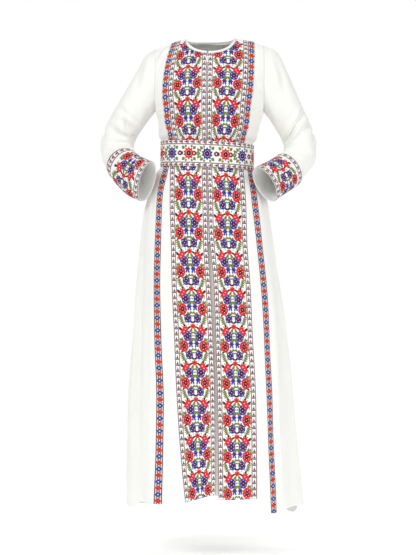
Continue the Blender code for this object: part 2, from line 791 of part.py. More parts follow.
def make_slider():
    share = SLIDER_SHARE
    middle = (BODICE_SEAMS.at(share, "centre_left") + BODICE_SEAMS.at(share, "centre_right")) / 2
    point, normal = surface_spot(bodice_point, bodice_turn(middle, share), share, False)
    normal = Vector((0, normal.y, normal.z)).normalized()
    down = Vector((0, normal.z, -normal.y))
    if down.z > 0:
        down = -down
    back = ZIP_FACE + GAP
    across, along, out = SLIDER_BODY
    face = back + out
    body = add_box(
        "zip_slider", "white_lacquer",
        point + down * (SLIDER_BODY_TOP + along / 2) + normal * (back + out / 2), down, normal, SLIDER_BODY,
    )

    # The bail: an arch over the tab's crossbar, drawn in the plane along the zip
    low, high = BAIL_SPAN
    outline = (
        (low, BAIL_SUNK), (low, BAIL_ROOM + BAIL_WALL), (high, BAIL_ROOM + BAIL_WALL), (high, BAIL_SUNK),
        (high - BAIL_WALL, BAIL_SUNK), (high - BAIL_WALL, BAIL_ROOM),
        (low + BAIL_WALL, BAIL_ROOM), (low + BAIL_WALL, BAIL_SUNK),
    )
    points = []
    for sign in (-0.5, 0.5):
        for step, rise in outline:
            points.append(point + Vector((sign * BAIL_WIDTH, 0, 0)) + down * step + normal * (face + rise))
    sides = ((0, 1, 6, 7), (1, 2, 5, 6), (2, 3, 4, 5))
    faces = list(sides) + [tuple(corner + 8 for corner in side) for side in sides]
    faces += [(corner, (corner + 1) % 8, (corner + 1) % 8 + 8, corner + 8) for corner in range(8)]
    bail = add_object("zip_bail_guide", "white_lacquer", points, faces, smooth=False)
    bail.hide_render = True
    bail.display_type = "WIRE"
    join = body.modifiers.new("bail", "BOOLEAN")
    join.operation = "UNION"
    join.solver = "EXACT"
    join.object = bail

    # The tab: a frame round the bail with a plate below, its crossbar on the hinge's axis
    hinge = point + normal * (face + BAIL_ROOM / 2)
    bar = TAB_WALL / 2
    outer = (
        (-TAB_HALF_WIDTH, -bar), (TAB_HALF_WIDTH, -bar),
        (TAB_HALF_WIDTH, TAB_LENGTH), (-TAB_HALF_WIDTH, TAB_LENGTH),
    )
    window = (
        (-TAB_WINDOW_HALF, bar), (TAB_WINDOW_HALF, bar),
        (TAB_WINDOW_HALF, TAB_WINDOW_END), (-TAB_WINDOW_HALF, TAB_WINDOW_END),
    )
    points = []
    for rise in (-bar, bar):
        points += [hinge + Vector((x, 0, 0)) + down * step + normal * rise for x, step in outer + window]
    faces = []
    for corner in range(4):
        beside = (corner + 1) % 4
        faces.append((corner, beside, beside + 4, corner + 4))
        faces.append((corner + 8, beside + 8, beside + 12, corner + 12))
        faces.append((corner, beside, beside + 8, corner + 8))
        faces.append((corner + 4, beside + 4, beside + 12, corner + 12))
    add_object("zip_pull_tab", "white_lacquer", points, faces, origin=hinge, smooth=False)


def build():
    for old in list(bpy.data.objects):
        bpy.data.objects.remove(old)
    make_bodice()
    make_skirt()
    for side in ("left", "right"):
        make_sleeve(side)
        make_cuff(side)
    make_belt()
    make_zip()
    make_slider()


build()
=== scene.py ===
# An ivory crepe caftan in its worn form, with embroidered fronts, belt, cuffs and tapes.
# Lengths are millimetres until a mesh is made. The front faces -Y and Z is up.
import math

import bmesh
import bpy
import numpy as np
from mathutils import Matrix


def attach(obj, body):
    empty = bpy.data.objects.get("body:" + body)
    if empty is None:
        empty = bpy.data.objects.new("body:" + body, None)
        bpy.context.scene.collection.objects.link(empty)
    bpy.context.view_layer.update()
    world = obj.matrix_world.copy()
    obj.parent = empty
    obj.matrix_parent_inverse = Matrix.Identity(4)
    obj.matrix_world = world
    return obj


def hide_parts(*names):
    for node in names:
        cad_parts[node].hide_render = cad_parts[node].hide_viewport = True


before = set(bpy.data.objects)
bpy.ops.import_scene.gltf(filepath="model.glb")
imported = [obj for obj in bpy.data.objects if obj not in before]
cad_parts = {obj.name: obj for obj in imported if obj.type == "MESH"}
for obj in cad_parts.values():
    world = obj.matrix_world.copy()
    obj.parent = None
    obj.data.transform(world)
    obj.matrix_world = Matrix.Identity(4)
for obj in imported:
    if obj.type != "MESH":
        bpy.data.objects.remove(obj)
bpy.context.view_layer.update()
mm = 0.001


# curves that the cut pieces follow

def smoothThrough(places, values, at):
    # smooth and without overshoot through rows of values, read at the places in "at"
    step = np.diff(places)[:, None]
    rise = np.diff(values, axis=0) / step
    slopes = np.vstack([rise[:1], rise])
    before, after = rise[:-1], rise[1:]
    same = before * after > 0
    slopes[1:-1] = np.where(same, 2 * before * after / np.where(same, before + after, 1), 0)
    at = np.clip(at, places[0], places[-1])
    i = np.clip(np.searchsorted(places, at) - 1, 0, len(places) - 2)
    t = ((at - places[i]) / step[i, 0])[:, None]
    bend = t * (1 - t) ** 2 * slopes[i] - t * t * (1 - t) * slopes[i + 1]
    return values[i] + t * t * (3 - 2 * t) * rise[i] * step[i] + bend * step[i]


class SmoothTable:
    def __init__(self, names, *rows):
        self.names = names.split()
        self.rows = np.array(sorted(rows), float)

    def at(self, place, name):
        column = self.names.index(name)
        flat = smoothThrough(self.rows[:, 0], self.rows[:, column:column + 1], np.ravel(place))
        return flat[:, 0].reshape(np.shape(place))


def blend(a, b, share):
    return a + (b - a) * share


def unit(vectors):
    return vectors / np.linalg.norm(vectors, axis=-1, keepdims=True)


def lengthsAlong(path):
    return np.concatenate([[0], np.cumsum(np.linalg.norm(np.diff(path, axis=0), axis=1))])


garment = {
    "wall": 1.2,  # crepe
    "tapeWall": 1.0,
    "tapeLift": 1.15,  # the narrow tapes lie on the crepe
    "facedWall": 1.8,  # cuffs and belt
    "edgeShare": 0.45,  # a cut edge is rounded to this share of the wall
    "hemShare": 1.45,  # and a turned hem is thicker
    "squareness": 2.3,  # 2 would make each section an ellipse
    "waist": -340,
    "waistTilt": -0.046,
    "skirtEnd": -1371,
    "hemReach": 6,
    "zipEnd": -592,
}


def squared(value):
    return np.sign(value) * np.abs(value) ** (2 / garment["squareness"])


# turn round the body in degrees: 0 is the middle of the front, 90 the right side seam
def turnBetween(x, left, right):
    share = np.clip((x - (left + right) / 2) / ((right - left) / 2), -1, 1)
    return np.sign(share) * np.degrees(np.arcsin(np.abs(share) ** (garment["squareness"] / 2)))


def sectionPoint(table, place, turn, left, right):
    depth = np.where(np.abs(turn) < 90, table.at(place, "front"), table.at(place, "back"))
    x = (left + right) / 2 + (right - left) / 2 * squared(np.sin(np.radians(turn)))
    return x, -depth * squared(np.cos(np.radians(turn)))


def centreAt(seams, place):
    return (seams.at(place, "centreLeft") + seams.at(place, "centreRight")) / 2


def waistHeight(x):
    return garment["waist"] + garment["waistTilt"] * x


def skirtHeight(share):
    return blend(garment["waist"], garment["skirtEnd"], share)


def skirtShare(height):
    return (height - garment["waist"]) / (garment["skirtEnd"] - garment["waist"])


# the skirt's form

skirtSections = SmoothTable(
    "height left right front back",
    (-340, -139, 128, 94, 88),
    (-377, -139, 128, 94, 88),
    (-386, -149, 138, 99, 96),
    (-422, -166, 157, 110, 110),
    (-466, -180, 171, 119, 124),
    (-519, -191, 178, 126, 136),
    (-614, -203, 193, 131, 147),
    (-717, -212, 209, 137, 152),
    (-879, -222, 231, 147, 160),
    (-1056, -233, 248, 160, 172),
    (-1204, -235, 262, 172, 186),
    (-1371, -237, 280, 186, 204),
)
skirtSeams = SmoothTable(
    "height tapeOutLeft tapeInLeft panelLeft centreLeft centreRight panelRight tapeInRight tapeOutRight",
    (-340, -128, -112, -112, -9, -3, 97, 107, 122),
    (-377, -132, -116, -113, -9, -3, 100, 111, 126),
    (-466, -149, -133, -113, -7, -1, 106, 122, 139),
    (-592, -155, -138, -110, -4, 2, 110, 136, 152),
    (-710, -158, -140, -107, 4, 13, 118, 148, 165),
    (-885, -155, -136, -99, 12, 19, 126, 158, 174),
    (-1065, -149, -128, -90, 17, 24, 133, 164, 181),
    (-1371, -154, -131, -66, 18, 27, 134, 171, 188),
)
hems = {
    "panelLeft": SmoothTable("turn height", (-20, -1338), (0, -1310)),
    "panelRight": SmoothTable("turn height", (0, -1326), (26, -1323)),
    "underlay": SmoothTable("turn height", (-10, -1312), (0, -1308), (12, -1312)),
    "goreLeft": SmoothTable(
        "turn height",
        (-90, -1367), (-70, -1362), (-62, -1343), (-50, -1341),
        (-35, -1341), (-28, -1337), (-23, -1348), (-15, -1339),
    ),
    "goreRight": SmoothTable(
        "turn height", (22, -1340), (27, -1353), (34, -1366), (44, -1359), (60, -1357), (90, -1360)
    ),
    "backLeft": SmoothTable(
        "turn height", (-180, -1370), (-160, -1376), (-138, -1384), (-120, -1376), (-90, -1367)
    ),
    "backRight": SmoothTable(
        "turn height", (90, -1361), (110, -1374), (124, -1406), (139, -1380), (180, -1370)
    ),
}
# each flute: turn at the waist, turn at the hem, start, half width in degrees, depth at the hem
flutes = (
    (-26, -24, -900, 8, 7), (-50, -47, -640, 9, 7), (-68, -58, -520, 9, -17),
    (-100, -104, -560, 12, 13), (-118, -121, -620, 11, -13), (-136, -138, -540, 12, 18),
    (-158, -157, -700, 11, -13), (28, 31, -860, 8, 9), (80, 63, -540, 10, -15),
    (104, 106, -640, 11, -10), (116, 122, -560, 12, 17), (132, 138, -600, 11, -12),
    (152, 150, -680, 12, 14), (180, 176, -560, 12, 15),
)


def fluteDepth(turn, height):
    total = np.zeros(np.broadcast(turn, height).shape)
    for top, end, start, half, depth in flutes:
        middle = blend(top, end, skirtShare(height))
        away = np.abs((turn - middle + 180) % 360 - 180) / half
        grown = np.clip((start - height) / (start - garment["skirtEnd"]), 0, 1.5)
        total += np.where(away < 2, depth * grown ** 1.2 * np.cos(away * np.pi / 4) ** 2, 0)
    return total


def skirtEdges(height):
    return skirtSections.at(height, "left"), skirtSections.at(height, "right")


def skirtPoint(turn, share, hem):
    turn, share = np.broadcast_arrays(np.asarray(turn, float), np.asarray(share, float))
    height = skirtHeight(share)
    x, y = sectionPoint(skirtSections, height, turn, *skirtEdges(height))
    flute = fluteDepth(turn, height)
    x = x + flute * np.sin(np.radians(turn))
    y = y - flute * np.cos(np.radians(turn))
    lifted = (hem.at(turn, "height") - garment["skirtEnd"]) * share ** garment["hemReach"]
    return np.stack([x, y, blend(waistHeight(x), garment["skirtEnd"], share) + lifted], axis=-1)


def skirtTurn(x, height):
    return turnBetween(x, *skirtEdges(height))


# the bodice's form

bodiceSections = SmoothTable(
    "share left right front back armShare",
    (0.0, -139, 128, 94, 88, 0),
    (0.128, -139, 128, 94, 88, 0),
    (0.146, -143, 132, 98, 91, 0),
    (0.166, -148, 138, 104, 95, 0),
    (0.2, -149, 141, 108, 98, 0),
    (0.30, -149, 149, 117, 103, 0),
    (0.42, -157, 160, 124, 108, 0),
    (0.44, -157, 160, 125, 109, 0.18),
    (0.49, -157, 160, 125, 110, 0.33),
    (0.57, -157, 160, 120, 110, 0.45),
    (0.68, -157, 160, 107, 107, 0.57),
    (0.79, -157, 160, 89, 98, 0.66),
    (0.88, -157, 160, 70, 82, 0.72),
    (0.94, -157, 160, 52, 62, 0.74),
    (0.978, -157, 160, 32, 39, 0.74),
    (0.994, -157, 160, 17, 21, 0.74),
    (1.0, -157, 160, 0, 0, 0.74),
)
bodiceSeams = SmoothTable(
    "share tapeOutLeft tapeInLeft centreLeft centreRight tapeInRight tapeOutRight",
    (0.0, -116, -100, -9, -3, 85, 101),
    (0.114, -117, -101, -9, -3, 87, 103),
    (0.25, -125, -109, -10, -4, 98, 114),
    (0.42, -131, -114, -10, -4, 104, 120),
    (0.55, -135, -118, -9, -3, 109, 126),
    (0.66, -133, -116, -9, -3, 112, 129),
    (0.79, -127, -111, -8, -2, 114, 131),
    (1.0, -108, -93, -7, -1, 116, 133),
)
shoulderLine = SmoothTable(
    "x height", (-157, -24), (-105, -5), (-72, 6), (4, 14), (80, 9), (136, -4), (160, -10)
)
neck = {
    "middle": 4, "half": 76, "dropFront": 58, "dropBack": 14,
    "width": 7, "wall": 1.4, "lean": 0.55, "climb": 0.83, "roll": 0.5,  # the binding and how it stands
    "spacing": 2.5,  # least step along the binding
}
armpit = 0.42


def bodiceEdges(share):
    left, right = bodiceSections.at(share, "left"), bodiceSections.at(share, "right")
    power = garment["squareness"]
    stretch = (1 - bodiceSections.at(share, "armShare") ** power) ** (-1 / power)
    middle, half = (left + right) / 2, (right - left) / 2
    return middle - half * stretch, middle + half * stretch


def bodicePoint(turn, share):
    turn, share = np.broadcast_arrays(np.asarray(turn, float), np.asarray(share, float))
    x, y = sectionPoint(bodiceSections, share, turn, *bodiceEdges(share))
    return np.stack([x, y, blend(waistHeight(x), shoulderLine.at(x, "height"), share)], axis=-1)


def bodiceTurn(x, share):
    return turnBetween(x, *bodiceEdges(share))


def bodiceEnd(side, share):
    return bodiceTurn(bodiceSections.at(share, side), share)


def neckShare(x, drop):
    away = np.clip(np.abs(x - neck["middle"]) / neck["half"], 0, 1)
    fall = drop * np.sqrt(1 - away * away)
    return 1 - fall / (shoulderLine.at(x, "height") - waistHeight(x))


# the sleeves' and cuffs' form, as rings round the arm

ringNames = "ring outerX outerZ innerX innerZ y lean depth"
sleeveRings = {
    "left": SmoothTable(
        ringNames,
        (1, -173, -33, -168, -215, 1, 0, 60),
        (2, -187, -46, -178, -227, 3, 0, 57),
        (3, -207, -80, -190, -243, 6, 0, 54),
        (4, -232, -123, -202, -261, 10, 0, 52),
        (5, -259, -168, -212, -277, 14, 0, 51),
        (6, -288, -214, -218, -289, 18, 0, 50),
        (7, -310, -263, -222, -298, 21, 0, 50),
        (8, -321, -311, -223, -304, 20, 2, 50),
        (9, -313, -350, -226, -309, 10, 8, 49),
        (10, -294, -380, -230, -314, -5, 14, 47),
        (11, -276, -403, -235, -319, -25, 19, 45),
    ),
    "right": SmoothTable(
        ringNames,
        (1, 183, -19, 171, -218, 1, 0, 60),
        (2, 202, -33, 182, -230, 3, 0, 57),
        (3, 225, -78, 193, -248, 6, 0, 54),
        (4, 247, -129, 205, -267, 10, 0, 52),
        (5, 270, -178, 215, -284, 14, 0, 51),
        (6, 290, -222, 220, -298, 18, 0, 50),
        (7, 307, -262, 223, -309, 21, 0, 50),
        (8, 318, -306, 222, -317, 21, 2, 50),
        (9, 313, -352, 220, -323, 12, 8, 49),
        (10, 286, -388, 217, -328, -5, 14, 47),
        (11, 251, -425, 213, -334, -28, 20, 45),
    ),
}
cuffRings = {
    "left": SmoothTable(
        ringNames,
        (0, -276, -403, -235, -319, -25, 19, 45),
        (1, -254, -431, -213, -339, -50, 23, 40),
        (2, -226, -457, -190, -353, -75, 27, 35),
        (3, -191, -473, -166, -364, -99, 31, 30),
    ),
    "right": SmoothTable(
        ringNames,
        (0, 251, -425, 213, -334, -28, 20, 45),
        (1, 228, -442, 188, -352, -57, 22, 41),
        (2, 205, -458, 162, -367, -86, 25, 37),
        (3, 183, -474, 137, -381, -115, 28, 34),
    ),
}


def ringPoints(table, ring, run, angles):
    value = {name: float(table.at(ring, name)) for name in table.names[1:]}
    outer = np.array([value["outerX"], value["y"] + value["lean"], value["outerZ"]])
    inner = np.array([value["innerX"], value["y"] - value["lean"], value["innerZ"]])
    reach = (outer - inner) / 2
    forward = np.cross(run, reach)
    forward *= (-1 if forward[1] > 0 else 1) * value["depth"] / np.linalg.norm(forward)
    return (outer + inner) / 2 + np.cos(angles)[:, None] * reach + np.sin(angles)[:, None] * forward


def ringMiddle(table, ring):
    across = (table.at(ring, "outerX") + table.at(ring, "innerX")) / 2
    up = (table.at(ring, "outerZ") + table.at(ring, "innerZ")) / 2
    return np.array([float(across), float(table.at(ring, "y")), float(up)])


def armholeRing(side, angles):
    share = blend(armpit, 1.0, (1 + np.cos(angles)) / 2)
    turn = bodiceEnd(side, share)
    behind = np.copysign(180, turn) - turn
    return bodicePoint(np.where(np.sin(angles) >= 0, turn, behind), share)


def fineRings(rings, rows):
    # more rings along a stack of a few, spaced by their mean distance apart
    gaps = [np.linalg.norm(b - a, axis=1).mean() for a, b in zip(rings[:-1], rings[1:])]
    places = np.concatenate([[0], np.cumsum(gaps)])
    flat = np.array(rings).reshape(len(rings), -1)
    return smoothThrough(places, flat, np.linspace(0, places[-1], rows)).reshape(rows, -1, 3)


# cloth as a grid of points, its creases, and the thin shell round it

def gridNormals(points, closed, inside):
    # outward normals of a grid: inside is a point or a row of points that the cloth goes round
    if closed:
        wide = np.concatenate([points[:, -1:], points, points[:, :1]], axis=1)
        around = wide[:, 2:] - wide[:, :-2]
    else:
        around = np.gradient(points, axis=1)
    normals = np.cross(around, np.gradient(points, axis=0))
    normals /= np.maximum(np.linalg.norm(normals, axis=-1, keepdims=True), 1e-9)
    outward = (normals * (points - inside)).sum(axis=-1).mean()
    return normals if outward > 0 else -normals


creasing = 1.7  # deepens every crease
# the axis and the sign that a view looks along, and the plane that its creases are drawn in
views = {"front": (1, -1, (0, 2)), "back": (1, 1, (0, 2)), "left": (0, -1, (1, 2)), "right": (0, 1, (1, 2))}


def creaseDepth(points, normals, creases):
    # each crease: view it is drawn in, width, depth (negative goes in), then its path in that view
    total = np.zeros(points.shape[:2])
    for view, wide, deep, *path in creases:
        deep *= creasing
        axis, sign, plane = views[view]
        facing = np.clip(normals[..., axis] * sign * 2, 0, 1)
        flat = points[..., plane]
        path = np.array(path, float)
        lengths = np.linalg.norm(np.diff(path, axis=0), axis=1)
        away, place, done = np.full(total.shape, 1e9), np.zeros(total.shape), 0.0
        for start, end, length in zip(path[:-1], path[1:], lengths):
            t = np.clip((flat - start) @ (end - start) / length ** 2, 0, 1)
            here = np.linalg.norm(flat - start - t[..., None] * (end - start), axis=-1)
            place = np.where(here < away, (done + t * length) / lengths.sum(), place)
            away = np.minimum(away, here)
            done += length
        away = away / wide
        # a trough with a low ridge along each side, which fades at the path's ends
        trough = np.exp(-away ** 2) - 0.3 * np.exp(-(away - 1.9) ** 2)
        total += deep * np.sin(np.pi * np.clip(place, 0.04, 0.96)) ** 0.6 * facing * trough
    return total


def bodyMiddle(points):
    return points * (0, 0, 1) + (0, 10, 0)


def pressed(points, closed=False, inside=None, creases=(), swell=0.0, seed=0.0):
    # points and normals of a grid after its creases, with a slow unevenness of the cloth
    inside = bodyMiddle(points) if inside is None else inside
    normals = gridNormals(points, closed, inside)
    out = creaseDepth(points, normals, creases)
    x, y, z = (points[..., axis] for axis in range(3))
    slow = np.sin(x / 31 + z / 83 + seed) * np.sin(z / 57 - y / 43 + 2 * seed)
    out = out + swell * (slow + 0.5 * np.sin(x / 17 + y / 23 - z / 37 + seed))
    points = points + normals * out[..., None]
    return points, gridNormals(points, closed, inside)


def spread(count, edge):
    # places from 0 to 1, with one more close to each end, which rounds a cut edge
    return np.concatenate([[0], np.linspace(edge, 1 - edge, count), [1]])


tapePlaces = spread(6, 0.04)  # across each narrow tape


def makeMesh(name, points, faces, materials, which=None, grain=None, smooth=True):
    mesh = bpy.data.meshes.new(name)
    mesh.from_pydata((np.asarray(points) * mm).tolist(), [], np.asarray(faces).tolist())
    for material in materials:
        mesh.materials.append(material)
    if which is not None:
        mesh.polygons.foreach_set("material_index", np.asarray(which, np.int32))
    if grain is not None:
        corner = np.zeros(len(mesh.loops), np.int32)
        mesh.loops.foreach_get("vertex_index", corner)
        layer = mesh.uv_layers.new(name="grain")
        layer.data.foreach_set("uv", np.asarray(grain, np.float32)[corner].ravel())
    if smooth:
        mesh.shade_smooth()
    piece = bpy.data.objects.new(name, mesh)
    bpy.context.scene.collection.objects.link(piece)
    return piece


def clothShell(name, points, normals, material, wall=None, lift=0.0, closed=False, hemRows=0):
    # a closed thin shell round a grid, with rounded cut edges and a thicker turned hem
    wall = wall or garment["wall"]
    rows, columns = points.shape[:2]
    half = np.full((rows, columns), wall / 2)
    if hemRows:
        half[-hemRows:] *= garment["hemShare"]
    half[[0, -1]] *= garment["edgeShare"]
    if not closed:
        half[:, [0, -1]] *= garment["edgeShare"]
    outer = points + normals * (lift + half)[..., None]
    inner = points + normals * (lift - half)[..., None]
    index = np.arange(rows * columns).reshape(rows, columns)
    if closed:
        index = np.hstack([index, index[:, :1]])
    behind = rows * columns
    quads = [np.stack([index[:-1, :-1], index[:-1, 1:], index[1:, 1:], index[1:, :-1]], -1).reshape(-1, 4)]
    quads.append(quads[0][:, ::-1] + behind)
    ends = [(index[0, :-1], index[0, 1:], 1), (index[-1, :-1], index[-1, 1:], -1)]
    if not closed:
        ends += [(index[:-1, 0], index[1:, 0], -1), (index[:-1, -1], index[1:, -1], 1)]
    for a, b, way in ends:
        rim = np.stack([b, a, a + behind, b + behind], -1)
        quads.append(rim if way > 0 else rim[:, ::-1])
    both = np.vstack([outer.reshape(-1, 3), inner.reshape(-1, 3)])
    piece = makeMesh(name, both, np.vstack(quads), [material])
    shape = bmesh.new()
    shape.from_mesh(piece.data)
    bmesh.ops.recalc_face_normals(shape, faces=shape.faces)
    shape.to_mesh(piece.data)
    shape.free()
    return piece


def wear(piece, node=None):
    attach(piece, "garment")
    if node:
        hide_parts(node)
    return piece


def addNode(nodes, kind, **values):
    # sets a socket where the node has one of that name, and the node's own value otherwise
    node = nodes.new(kind)
    for key, value in values.items():
        if key in node.inputs:
            node.inputs[key].default_value = value
        else:
            setattr(node, key, value)
    return node


class Finish:
    # a material, with short ways to the nodes that all of them use
    def __init__(self, name, colour, roughness):
        self.material = bpy.data.materials.new(name)
        self.material.use_nodes = True
        self.material.diffuse_color = (*colour, 1)
        self.nodes, self.links = self.material.node_tree.nodes, self.material.node_tree.links
        self.shader = self.nodes["Principled BSDF"]
        self.shader.inputs["Base Color"].default_value = (*colour, 1)
        self.shader.inputs["Roughness"].default_value = roughness
        self.place = addNode(self.nodes, "ShaderNodeTexCoord")

    def noise(self, scale, detail=2.0, roughness=0.5):
        texture = addNode(self.nodes, "ShaderNodeTexNoise", Scale=scale, Detail=detail, Roughness=roughness)
        self.links.new(self.place.outputs["Object"], texture.inputs["Vector"])
        return texture.outputs["Fac"]

    def mixed(self, first, share, second):
        # the first times its share, plus the second
        node = addNode(self.nodes, "ShaderNodeMath", operation="MULTIPLY_ADD")
        node.inputs[1].default_value = share
        self.links.new(first, node.inputs[0])
        self.links.new(second, node.inputs[2])
        return node.outputs[0]

    def tone(self, value, places, colours):
        ramp = addNode(self.nodes, "ShaderNodeValToRGB")
        for element, place, colour in zip(ramp.color_ramp.elements, places, colours):
            element.position, element.color = place, (*colour, 1)
        self.links.new(value, ramp.inputs["Fac"])
        self.links.new(ramp.outputs["Color"], self.shader.inputs["Base Color"])

    def bump(self, height, strength, distance):
        node = addNode(self.nodes, "ShaderNodeBump", Strength=strength, Distance=distance)
        self.links.new(height, node.inputs["Height"])
        self.links.new(node.outputs["Normal"], self.shader.inputs["Normal"])


# noise scales are for a metre, bump heights are metres, and tone is where a ramp starts and ends
crepeLook = {"rough": 0.78, "sheenRough": 0.45, "cloudy": 9.0, "slub": 260.0, "slubShare": 0.6,
             "tone": (0.3, 0.7), "bump": 0.0004}
threadLook = {"rough": 0.5, "sheen": 0.04, "sheenRough": 0.35, "specular": 0.2, "width": 0.42, "waver": 1.2,
              "cloudy": 160.0, "ridgeShare": 0.55, "tone": (0.25, 0.95), "ridge": 0.5, "bump": 0.0002}
lacquerLook = {"rough": 0.28, "coat": 0.4, "coatRough": 0.12, "peel": 900.0, "worn": 210.0,
               "shade": (0.8, 0.8, 0.78), "tone": (0.28, 0.5), "ridge": 0.12, "bump": 0.0001}


def crepeFinish(name, colour, shade, grainSize=1.1, pebble=0.22, sheen=0.3):
    # a dull pebbled weave with a slow change of tone and a soft sheen
    crepe = Finish(name, colour, crepeLook["rough"])
    crepe.shader.inputs["Sheen Weight"].default_value = sheen
    crepe.shader.inputs["Sheen Roughness"].default_value = crepeLook["sheenRough"]
    crepe.tone(crepe.noise(crepeLook["cloudy"], 3.0), crepeLook["tone"], (shade, colour))
    slub, fine = crepe.noise(crepeLook["slub"]), crepe.noise(1000 / grainSize, roughness=0.6)
    crepe.bump(crepe.mixed(slub, crepeLook["slubShare"], fine), pebble, crepeLook["bump"])
    return crepe.material


def threadFinish(name, light, dark):
    # satin stitches: fine ridges across the grain, with painted highlight on each ridge's top and painted
    # shade between the ridges, and a little uneven in tone
    satin = Finish(name, light, threadLook["rough"])
    satin.shader.inputs["Sheen Weight"].default_value = threadLook["sheen"]
    satin.shader.inputs["Sheen Roughness"].default_value = threadLook["sheenRough"]
    satin.shader.inputs["Specular IOR Level"].default_value = threadLook["specular"]
    grain = addNode(satin.nodes, "ShaderNodeUVMap", uv_map="grain")
    # a wave texture's own wave is 0.314 long at a scale of 1
    ridges = addNode(satin.nodes, "ShaderNodeTexWave", Scale=0.314 / threadLook["width"], Detail=2.0)
    ridges.inputs["Distortion"].default_value = threadLook["waver"]
    ridges.inputs["Detail Scale"].default_value = 0.8
    ridges.bands_direction = "Y"
    satin.links.new(grain.outputs["UV"], ridges.inputs["Vector"])
    # the colour follows the ridges, with painted highlight on their tops and painted shade in the grooves,
    # mixed with random unevenness
    ridgeShadeAndUneven = satin.mixed(ridges.outputs["Fac"], threadLook["ridgeShare"], satin.noise(threadLook["cloudy"]))
    satin.tone(ridgeShadeAndUneven, threadLook["tone"], (dark, light))
    satin.bump(ridges.outputs["Fac"], threadLook["ridge"], threadLook["bump"])
    return satin.material


def lacquerFinish(name, colour):
    # sprayed enamel over metal, very slightly orange-peeled
    enamel = Finish(name, colour, lacquerLook["rough"])
    enamel.shader.inputs["Coat Weight"].default_value = lacquerLook["coat"]
    enamel.shader.inputs["Coat Roughness"].default_value = lacquerLook["coatRough"]
    shade = [part * dim for part, dim in zip(colour, lacquerLook["shade"])]
    enamel.tone(enamel.noise(lacquerLook["worn"], 3.0), lacquerLook["tone"], (shade, colour))
    enamel.bump(enamel.noise(lacquerLook["peel"]), lacquerLook["ridge"], lacquerLook["bump"])
    return enamel.material


crepes = {  # light and dark tone, then grain size in mm, pebble and sheen
    "ivoryCrepe": ((0.90, 0.905, 0.865), (0.872, 0.878, 0.835)),
    "embroideryGround": ((0.915, 0.915, 0.895), (0.88, 0.88, 0.855), 0.8, 0.3, 0.2),
    # the underlay's greige, darker than the ivory fronts, is painted shade of the gap behind them
    "underlayShadedCrepe": ((0.86, 0.845, 0.76), (0.80, 0.785, 0.70)),
    "zipCloth": ((0.88, 0.88, 0.87), (0.82, 0.82, 0.81), 0.5, 0.4, 0.1),
}
# each thread's light tone is painted highlight on the stitches' ridge tops, and its dark tone is painted
# shade between them, mixed with some random unevenness
threadTones = {  # light and dark
    "red": ((0.84, 0.032, 0.042), (0.52, 0.008, 0.014)),
    "blue": ((0.040, 0.064, 0.43), (0.016, 0.024, 0.19)),
    "maroon": ((0.125, 0.010, 0.018), (0.055, 0.004, 0.008)),
    "olive": ((0.22, 0.24, 0.026), (0.12, 0.135, 0.012)),
    "sage": ((0.34, 0.44, 0.27), (0.22, 0.29, 0.17)),
    "taupe": ((0.27, 0.15, 0.18), (0.17, 0.09, 0.11)),
    "plum": ((0.125, 0.032, 0.045), (0.065, 0.014, 0.022)),
    "cream": ((0.93, 0.83, 0.72), (0.80, 0.68, 0.57)),
    "ivory": ((0.90, 0.90, 0.86), (0.74, 0.74, 0.69)),
}
ivoryCrepe, groundCrepe, underlayShadedCrepe, zipCloth = (crepeFinish(name, *look) for name, look in crepes.items())
lacquer = lacquerFinish("whiteLacquer", (0.93, 0.93, 0.93))
threads = {name: threadFinish(name + "Thread", *tones) for name, tones in threadTones.items()}
threadNames = list(threads)
print("finishes ready")


stand = {
    "floor": -1.50, "floorHalf": 1.6, "floorGlow": 0.3, "worldLight": 0.58,
    "distance": 4.5, "aimX": -0.003, "aimZ": -0.695, "frameHeight": 1.637, "sensor": 24,
}
lights = {  # place, aim, size and power
    "keyLight": ((-2.3, -3.0, 1.7), (0, 0, -0.7), (1.5, 1.5), 72),
    "fillLight": ((2.6, -2.6, 0.4), (0, 0, -0.7), (1.8, 2.4), 44),
    "backLight": ((0.6, 3.4, 1.6), (0, 0, -0.6), (2.4, 1.6), 44),
}


def setCamera():
    camera = bpy.data.objects.new("camera", bpy.data.cameras.new("camera"))
    bpy.context.scene.collection.objects.link(camera)
    camera.location = (stand["aimX"], -stand["distance"], stand["aimZ"])
    camera.rotation_euler = (math.radians(90), 0, 0)
    camera.data.sensor_fit = "VERTICAL"
    camera.data.sensor_height = stand["sensor"]
    camera.data.lens = stand["sensor"] * stand["distance"] / stand["frameHeight"]
    bpy.context.scene.camera = camera


def softBox(name, place, aim, size, power):
    light = bpy.data.objects.new(name, bpy.data.lights.new(name, "AREA"))
    bpy.context.scene.collection.objects.link(light)
    light.data.shape = "RECTANGLE"
    light.data.size, light.data.size_y = size
    light.data.energy = power
    light.location = place
    x, y, z = np.subtract(aim, place).tolist()
    light.rotation_euler = (math.atan2(math.hypot(x, y), -z), 0, math.atan2(y, x) - math.pi / 2)


